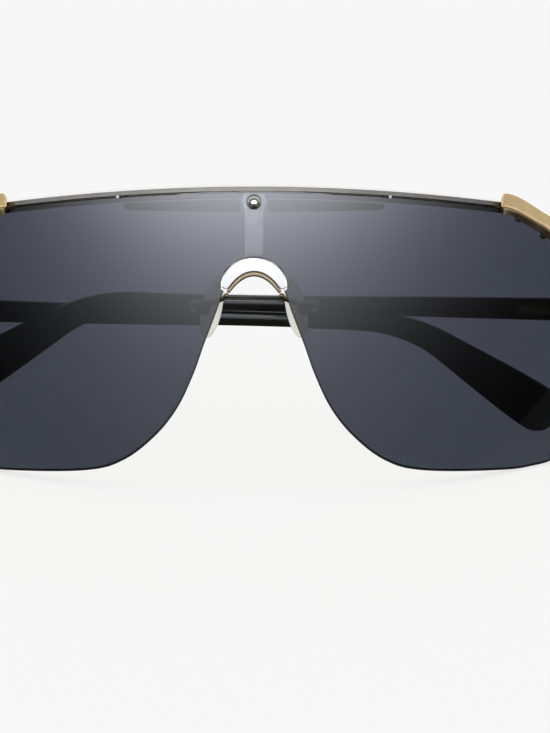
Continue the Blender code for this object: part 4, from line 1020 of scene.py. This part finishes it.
def temple_axes(side):
    """A folded temple's axes as rows: X to its outer face, Y along it and Z across its width."""
    turn = Matrix.Rotation(side * RISE[side], 3, "Y") @ Matrix.Rotation(side * FOLD[side], 3, "Z")
    return np.array(turn.transposed()) @ TURN.T


def temple_length(sizes):
    """A temple's length along its bend: a share of the span between the hinges, each of which lies
    3 mm in from the lens's side."""
    return 1.0377 * 2 * (sizes.lens_half_width - 3.0 * MM)


def temple_line(along, sizes):
    """The temple's middle line: straight, then down on an arc of 34 mm, then straight again."""
    start, radius, bend = 0.656 * temple_length(sizes), 34.0 * MM, math.radians(32)
    turned = np.clip((along - start) / (bend * radius), 0, 1) * bend
    after = np.clip(along - start - bend * radius, 0, None)
    return np.column_stack([
        np.minimum(along, start) + radius * np.sin(turned) + after * math.cos(bend),
        -radius * (1 - np.cos(turned)) - after * math.sin(bend),
    ])


def build_temples(sizes):
    """The temples: soft boxes, superellipses with a crown on their faces, carried along the middle
    line, as wide as the shares say, and closed by superellipses at the butt and at the tip."""
    total, tip, butt, start = temple_length(sizes), 6.4 * MM, 0.35 * MM, 0.2 * MM
    along = stations(total - start, butt, tip, 150) + start
    line = temple_line(along, sizes)
    aside = aside_of(line)
    shares, widths = through(TEMPLE_WIDTH_SHARES, 12).T
    half = np.interp(along / total, shares, widths) * sizes.temple_width / 2
    into_tip = np.clip((along - (total - tip)) / tip, 0, 1)
    into_butt = np.clip((start + butt - along) / butt, 0, 1)
    blunt = 0.90 + 0.10 * (1 - into_butt ** 2) ** 0.5
    half = half * (1 - into_tip ** 2.4) ** (1 / 2.4) * blunt
    thick = sizes.temple_thickness / 2 * (0.35 + 0.65 * (1 - into_tip ** 5) ** 0.2) * blunt
    turns = np.linspace(0, 2 * math.pi, 64, endpoint=False)
    cosine, sine = np.cos(turns), np.sin(turns)
    bulge = sizes.temple_crown * (1 - np.abs(sine) ** 1.2) * np.abs(cosine) ** 0.3
    flat_half = np.sign(cosine) * (
        (thick[:, None] - sizes.temple_crown) * np.abs(cosine) ** 0.3 + bulge
    )
    section = np.stack([flat_half, half[:, None] * np.sign(sine) * np.abs(sine) ** 0.62], axis=-1)
    flat = line[:, None] + aside[:, None] * section[..., 1:]
    for label, side in SIDES.items():
        axes = temple_axes(side)
        place = joint_place(f"temple_{label}_hinge")
        middle = side * (1.9 * MM + sizes.temple_thickness / 2)
        rings = np.stack([middle + section[..., 0], flat[..., 0], flat[..., 1]], axis=-1) @ axes + place
        hearts = np.column_stack([(middle,) * 2, line[[0, -1]]]) @ axes + place
        skin(
            f"temple_{label}_piece", rings, hearts, "acetate", f"temple_{label}", [f"temple_{label}"],
            30.0,
        )


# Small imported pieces

def fine_copy(node, finish, edge):
    """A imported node's mesh, merged, with smooth round faces and fine bevelled edges."""
    mesh = FRAME["nodes"][node].data.copy()
    work = bmesh.new()
    work.from_mesh(mesh)
    bmesh.ops.remove_doubles(work, verts=work.verts, dist=0.005 * MM)
    bmesh.ops.dissolve_limit(
        work, angle_limit=math.radians(0.5), verts=work.verts, edges=work.edges,
        use_dissolve_boundaries=False,
    )
    work.to_mesh(mesh)
    work.free()
    mesh.materials.clear()
    mesh.materials.append(FINISHES[finish]())
    mesh.shade_smooth()
    mesh.set_sharp_from_angle(angle=math.radians(32))
    piece = bpy.data.objects.new(node + "_piece", mesh)
    bpy.context.scene.collection.objects.link(piece)
    bevel = piece.modifiers.new("Edge", "BEVEL")
    bevel.width = edge
    bevel.segments = 2
    bevel.limit_method = "ANGLE"
    bevel.angle_limit = math.radians(32)
    bevel.harden_normals = True
    body = FRAME["nodes"][node]["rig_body"]
    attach(piece, body)
    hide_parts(node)
    return piece


def build_fastenings():
    """The strut, hinges, clamps, boxes, screws and rivets."""
    fine_copy("centre_strut", "bright", 0.1 * MM)
    for node in ("rear_washer", "centre_nut"):
        fine_copy(node, "steel", 0.08 * MM)
    for label in SIDES:
        for kind in ("lens_clamp", "front_leaf", "temple_leaf", "pad_box"):
            fine_copy(f"{kind}_{label}", "gold", 0.07 * MM)
        for node in (
            f"pad_lug_{label}", f"pad_screw_{label}", f"end_screw_{label}_1", f"end_screw_{label}_2",
            f"hinge_screw_{label}", f"leaf_rivet_{label}_1", f"leaf_rivet_{label}_2",
        ):
            fine_copy(node, "steel", 0.06 * MM)
        core = FRAME["nodes"][f"core_wire_{label}"]
        core.data.materials.clear()
        core.data.materials.append(small_steel())


# Stage

def stage_grid(name, points, material):
    """A stage surface from a grid of points."""
    rows, columns = points.shape[:2]
    row, column = np.meshgrid(np.arange(rows - 1), np.arange(columns - 1), indexing="ij")
    cell = (row * columns + column).reshape(-1)
    faces = np.column_stack([cell, cell + 1, cell + columns + 1, cell + columns])
    mesh = bpy.data.meshes.new(name)
    mesh.from_pydata(points.reshape(-1, 3).tolist(), [], faces.tolist())
    mesh.materials.append(material)
    surface = bpy.data.objects.new(name, mesh)
    bpy.context.scene.collection.objects.link(surface)
    return surface


def inner_glint(tree):
    """1 for rays that were mirrored and then left through glass, as glints inside the lens are."""
    rays = tree.nodes.new("ShaderNodeLightPath")
    mirrored = worked(tree, "MINIMUM", rays.outputs["Glossy Depth"], 1.0)
    return worked(tree, "MULTIPLY", mirrored, rays.outputs["Is Transmission Ray"])


def floor_material(colour):
    """A plain matt floor with the faintest mottling. It shines white to the camera for the most part,
    so that shadows stay faint, and is dark to glints inside the lens."""
    share, strength = 0.8, 0.93
    made, tree, shader = new_finish("studio_floor")
    rays = tree.nodes.new("ShaderNodeLightPath")
    seen = worked(tree, "MAXIMUM", rays.outputs["Is Camera Ray"], rays.outputs["Is Transmission Ray"])
    white = tree.nodes.new("ShaderNodeEmission")
    white.inputs["Strength"].default_value = strength
    half = tree.nodes.new("ShaderNodeMixShader")
    tree.links.new(worked(tree, "MULTIPLY", seen, share), half.inputs["Fac"])
    tree.links.new(shader.outputs["BSDF"], half.inputs[1])
    tree.links.new(white.outputs["Emission"], half.inputs[2])
    dark = tree.nodes.new("ShaderNodeEmission")
    dark.inputs["Strength"].default_value = DARK
    whole = tree.nodes.new("ShaderNodeMixShader")
    tree.links.new(inner_glint(tree), whole.inputs["Fac"])
    tree.links.new(half.outputs["Shader"], whole.inputs[1])
    tree.links.new(dark.outputs["Emission"], whole.inputs[2])
    tree.links.new(whole.outputs["Shader"], tree.nodes["Material Output"].inputs["Surface"])
    tree.links.new(shaded(tree, noise(tree, 4, 2), colour, 0.997, 1.003), shader.inputs["Base Color"])
    shader.inputs["Roughness"].default_value = 0.9
    shader.inputs["Specular IOR Level"].default_value = 0.0
    return made


def glare_material(stage):
    """The card that the lens mirrors: a glow that fades sideways as a bell curve and grows upwards
    exponentially up to its crest, on a dark ground that turns pale at the card's sides and top.
    The glow's middle is shifted sideways, and it is as bright as the setting at its base."""
    shift, base, growth = 0.18, 0.117, 0.046
    made = bpy.data.materials.new("glare_card")
    made.use_nodes = True
    tree = made.node_tree
    tree.nodes.clear()
    place = tree.nodes.new("ShaderNodeTexCoord")
    split = tree.nodes.new("ShaderNodeSeparateXYZ")
    tree.links.new(place.outputs["Object"], split.inputs["Vector"])
    up = split.outputs["Z"]
    turn = worked(
        tree, "ARCTAN2", worked(tree, "ADD", split.outputs["X"], shift),
        worked(tree, "MULTIPLY", split.outputs["Y"], -1),
    )
    aside = worked(tree, "ABSOLUTE", turn)
    bell = worked(tree, "POWER", worked(tree, "DIVIDE", aside, stage.glare_spread), 2)
    bell = worked(tree, "EXPONENT", worked(tree, "MULTIPLY", bell, -1))
    climb = worked(tree, "DIVIDE", worked(tree, "SUBTRACT", up, base), growth)
    climb = worked(tree, "MINIMUM", worked(tree, "EXPONENT", climb), 1.5)
    crest = worked(tree, "SUBTRACT", 1.0, eased_between(tree, up, 0.15, 0.22))
    glow = worked(tree, "MULTIPLY", worked(tree, "MULTIPLY", bell, climb), crest)
    glow = worked(tree, "MULTIPLY", glow, stage.glare)
    sides = worked(tree, "MULTIPLY", eased_between(tree, aside, 1.30, 1.50), stage.rim)
    top = worked(tree, "MULTIPLY", eased_between(tree, up, 0.165, 0.22), bell)
    top = worked(tree, "MULTIPLY", top, 0.9)
    ground = worked(tree, "ADD", DARK, worked(tree, "MAXIMUM", sides, top))
    shine = tree.nodes.new("ShaderNodeEmission")
    shine.inputs["Color"].default_value = (0.97, 1.0, 1.075, 1)
    tree.links.new(worked(tree, "ADD", glow, ground), shine.inputs["Strength"])
    output = tree.nodes.new("ShaderNodeOutputMaterial")
    tree.links.new(shine.outputs["Emission"], output.inputs["Surface"])
    return made


def plain_card(name, strength):
    """A card that shines evenly."""
    made = bpy.data.materials.new(name)
    made.use_nodes = True
    tree = made.node_tree
    tree.nodes.clear()
    shine = tree.nodes.new("ShaderNodeEmission")
    shine.inputs["Strength"].default_value = strength
    output = tree.nodes.new("ShaderNodeOutputMaterial")
    tree.links.new(shine.outputs["Emission"], output.inputs["Surface"])
    return made


def ground_material():
    """The disc that bevels mirror: dark, with a half bright band under each end piece."""
    glow, least = 0.6, 4 * DARK
    made = plain_card("dark_ground", least)
    tree = made.node_tree
    place = tree.nodes.new("ShaderNodeTexCoord")
    split = tree.nodes.new("ShaderNodeSeparateXYZ")
    tree.links.new(place.outputs["Object"], split.inputs["Vector"])
    aside = worked(tree, "ABSOLUTE", split.outputs["X"])
    outer = worked(tree, "SUBTRACT", 1.0, eased_between(tree, aside, 0.17, 0.22))
    band = worked(tree, "MULTIPLY", eased_between(tree, aside, 0.078, 0.12), outer)
    strength = worked(tree, "ADD", worked(tree, "MULTIPLY", band, glow), least)
    tree.links.new(strength, tree.nodes["Emission"].inputs["Strength"])
    return made


def only_mirrored(card):
    """Let a card be seen in reflections and nowhere else."""
    card.visible_camera = False
    card.visible_diffuse = False
    card.visible_transmission = False
    card.visible_volume_scatter = False
    card.visible_shadow = False


def build_world(stage):
    """An even pale world: full strength to the camera, mirrors and glass, the setting's to matt
    surfaces, and none to glints inside the lens."""
    world = bpy.data.worlds.new("pale_studio")
    bpy.context.scene.world = world
    world.use_nodes = True
    tree = world.node_tree
    background = tree.nodes["Background"]
    background.inputs["Color"].default_value = (0.93, 0.93, 0.93, 1)
    rays = tree.nodes.new("ShaderNodeLightPath")
    seen = worked(tree, "MAXIMUM", rays.outputs["Is Camera Ray"], rays.outputs["Is Glossy Ray"])
    seen = worked(tree, "MAXIMUM", seen, rays.outputs["Is Transmission Ray"])
    level = tree.nodes.new("ShaderNodeMapRange")
    level.inputs["To Min"].default_value = stage.ambient
    level.inputs["To Max"].default_value = 1.0
    tree.links.new(seen, level.inputs["Value"])
    open_air = worked(tree, "SUBTRACT", 1.0, inner_glint(tree))
    strength = worked(tree, "MULTIPLY", level.outputs["Result"], open_air)
    tree.links.new(strength, background.inputs["Strength"])


def build_lamp(name, place, aim, size, power):
    """A rectangular lamp at a place, facing a point."""
    light = bpy.data.lights.new(name, "AREA")
    light.shape = "RECTANGLE"
    light.size, light.size_y = size
    light.energy = power
    lamp = bpy.data.objects.new(name, light)
    lamp.location = place
    lamp.rotation_euler = (Vector(aim) - Vector(place)).to_track_quat("-Z", "Y").to_euler()
    bpy.context.scene.collection.objects.link(lamp)
    return lamp


def build_lamps(stage):
    """A soft lamp overhead, a strip in front for the streaks on gloss, a lamp for the strut and one
    for each end piece's ridge."""
    middle = (0, 0, 0.03)
    build_lamp("soft_lamp", (-0.15, -0.25, 1.3), middle, (1.2, 0.8), stage.lamp_power)
    build_lamp("strip_lamp", (0, -1.19, 0.36), middle, (0.9, 0.05), stage.strip_power)
    strut = bpy.data.objects.get("centre_strut_piece")
    if strut is None:
        raise RuntimeError("the strut is built before the stage")
    lit = bpy.data.collections.new("lit_through_lens")
    lit.objects.link(strut)
    lamp = build_lamp("strut_lamp", (0, -1.0, 0.09), middle, (0.5, 0.3), stage.strut_power)
    lamp.data.color = (0.74, 0.72, 1.0)
    lamp.light_linking.receiver_collection = lit
    for label, side in SIDES.items():
        lit = bpy.data.collections.new(f"end_piece_{label}_lit")
        lit.objects.link(bpy.data.objects[f"end_piece_{label}_band"])
        place, aim = (side * 0.417, -0.19, 0.05), (side * 0.058, -0.01, 0.058)
        lamp = build_lamp(f"ridge_lamp_{label}", place, aim, (0.18, 0.09), stage.ridge_power)
        lamp.light_linking.receiver_collection = lit
        lamp.visible_camera = False


def build_camera(stage):
    """A long lens ten degrees above the glasses' own facing, aimed at them below their middle and
    shifted by 21 of the frame's 733 pixels."""
    data = bpy.data.cameras.new("photo_camera")
    data.lens = stage.focal_length
    data.sensor_width = 36.0
    data.shift_x = 21 / 733
    camera = bpy.data.objects.new("photo_camera", data)
    aim = Vector(stood(np.array((0, 0, stage.aim_height))))
    pitch = LEAN + math.radians(10)
    ahead = Vector((0, math.cos(pitch), -math.sin(pitch)))
    camera.location = aim - ahead * stage.distance
    camera.rotation_euler = ahead.to_track_quat("-Z", "Y").to_euler()
    bpy.context.scene.collection.objects.link(camera)
    bpy.context.scene.camera = camera


def build_stage(stage):
    """Floor, mirrored cards, world, lamps, camera and view."""
    across, deep = np.meshgrid(np.linspace(-4, 4, 9), np.linspace(-4, 8, 13))
    points = np.stack([across, deep, np.zeros_like(across)], axis=-1)
    floor = stage_grid("studio_floor", points, floor_material(stage.floor))
    floor.visible_glossy = False
    turn, rise = np.meshgrid(np.radians(np.linspace(-96, 96, 49)), np.linspace(-0.6, 0.32, 5))
    card = np.stack([1.2 * np.sin(turn), -1.2 * np.cos(turn), rise], axis=-1)
    only_mirrored(stage_grid("glare_card", card, glare_material(stage)))
    turn, rise = np.meshgrid(np.radians(np.linspace(135, 225, 25)), np.linspace(-0.25, 0.25, 3))
    card = np.stack([1.25 * np.sin(turn), -1.25 * np.cos(turn), rise], axis=-1)
    only_mirrored(stage_grid("rim_card", card, plain_card("rim_card", stage.rim)))
    turn, out = np.meshgrid(np.radians(np.linspace(0, 360, 49)), np.linspace(0.001, 0.6, 3))
    disc = np.stack([out * np.sin(turn), -out * np.cos(turn), np.full_like(out, -0.05)], axis=-1)
    only_mirrored(stage_grid("dark_ground", disc, ground_material()))
    build_world(stage)
    build_lamps(stage)
    build_camera(stage)
    bpy.context.scene.view_settings.view_transform = "Standard"


# Operators and panel

def sizes_of(context):
    """The sizes set on the scene."""
    return context.scene.sunglasses_sizes


class SUNGLASSES_OT_lens(bpy.types.Operator):
    """Build the bent smoke lens and its dark rims"""

    bl_idname = "sunglasses.lens"
    bl_label = "Lens"

    def execute(self, context):
        build_lens(sizes_of(context))
        return {"FINISHED"}


class SUNGLASSES_OT_brow(bpy.types.Operator):
    """Build the brow bar, its stiffening plates and its claws"""

    bl_idname = "sunglasses.brow"
    bl_label = "Brow"

    def execute(self, context):
        sizes = sizes_of(context)
        build_brow_bar(sizes)
        build_brow_plates(sizes)
        build_claws(sizes)
        return {"FINISHED"}


class SUNGLASSES_OT_bridge(bpy.types.Operator):
    """Build the centre screw, the arched rail and the pale crescent"""

    bl_idname = "sunglasses.bridge"
    bl_label = "Bridge"

    def execute(self, context):
        sizes = sizes_of(context)
        build_centre(sizes)
        build_bridge(sizes)
        return {"FINISHED"}


class SUNGLASSES_OT_pads(bpy.types.Operator):
    """Build the nose pads and their arms"""

    bl_idname = "sunglasses.pads"
    bl_label = "Nose Pads"

    def execute(self, context):
        build_pads(sizes_of(context))
        return {"FINISHED"}


class SUNGLASSES_OT_end_pieces(bpy.types.Operator):
    """Build the gold end pieces"""

    bl_idname = "sunglasses.end_pieces"
    bl_label = "End Pieces"

    def execute(self, context):
        build_end_pieces(sizes_of(context))
        return {"FINISHED"}


class SUNGLASSES_OT_temples(bpy.types.Operator):
    """Build the black temples"""

    bl_idname = "sunglasses.temples"
    bl_label = "Temples"

    def execute(self, context):
        build_temples(sizes_of(context))
        return {"FINISHED"}


class SUNGLASSES_OT_fastenings(bpy.types.Operator):
    """Finish the strut, hinges, clamps, boxes, screws and rivets"""

    bl_idname = "sunglasses.fastenings"
    bl_label = "Fastenings"

    def execute(self, context):
        build_fastenings()
        return {"FINISHED"}


class SUNGLASSES_OT_stage(bpy.types.Operator):
    """Build the floor, the light and the camera"""

    bl_idname = "sunglasses.stage"
    bl_label = "Stage"

    def execute(self, context):
        build_stage(context.scene.sunglasses_stage)
        return {"FINISHED"}


OPERATORS = (
    SUNGLASSES_OT_lens, SUNGLASSES_OT_brow, SUNGLASSES_OT_bridge, SUNGLASSES_OT_pads,
    SUNGLASSES_OT_end_pieces, SUNGLASSES_OT_temples, SUNGLASSES_OT_fastenings, SUNGLASSES_OT_stage,
)


class SUNGLASSES_PT_build(bpy.types.Panel):
    """Lists the pieces to build and their settings"""

    bl_idname = "SUNGLASSES_PT_build"
    bl_label = "Shield Sunglasses"
    bl_space_type = "VIEW_3D"
    bl_region_type = "UI"
    bl_category = "Sunglasses"

    def draw(self, context):
        for operator in OPERATORS:
            self.layout.operator(operator.bl_idname)
        for group in ("sunglasses_sizes", "sunglasses_finish", "sunglasses_stage"):
            settings = getattr(context.scene, group)
            box = self.layout.box()
            for name in settings.__annotations__:
                box.prop(settings, name)


CLASSES = (SunglassesSizes, SunglassesFinish, SunglassesStage, *OPERATORS, SUNGLASSES_PT_build)


def register():
    """Register the classes and put the settings on the scene."""
    for made in CLASSES:
        bpy.utils.register_class(made)
    bpy.types.Scene.sunglasses_sizes = PointerProperty(type=SunglassesSizes)
    bpy.types.Scene.sunglasses_finish = PointerProperty(type=SunglassesFinish)
    bpy.types.Scene.sunglasses_stage = PointerProperty(type=SunglassesStage)


def unregister():
    """Take the settings off the scene and unregister the classes."""
    del bpy.types.Scene.sunglasses_stage
    del bpy.types.Scene.sunglasses_finish
    del bpy.types.Scene.sunglasses_sizes
    for made in reversed(CLASSES):
        bpy.utils.unregister_class(made)


def main():
    """Clear the startup objects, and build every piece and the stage."""
    for name in ("Cube", "Light", "Camera"):
        if name in bpy.data.objects:
            bpy.data.objects.remove(bpy.data.objects[name], do_unlink=True)
    register()
    bpy.ops.sunglasses.lens()
    bpy.ops.sunglasses.brow()
    bpy.ops.sunglasses.bridge()
    bpy.ops.sunglasses.pads()
    bpy.ops.sunglasses.end_pieces()
    bpy.ops.sunglasses.temples()
    bpy.ops.sunglasses.fastenings()
    bpy.ops.sunglasses.stage()


if __name__ == "__main__":
    main()
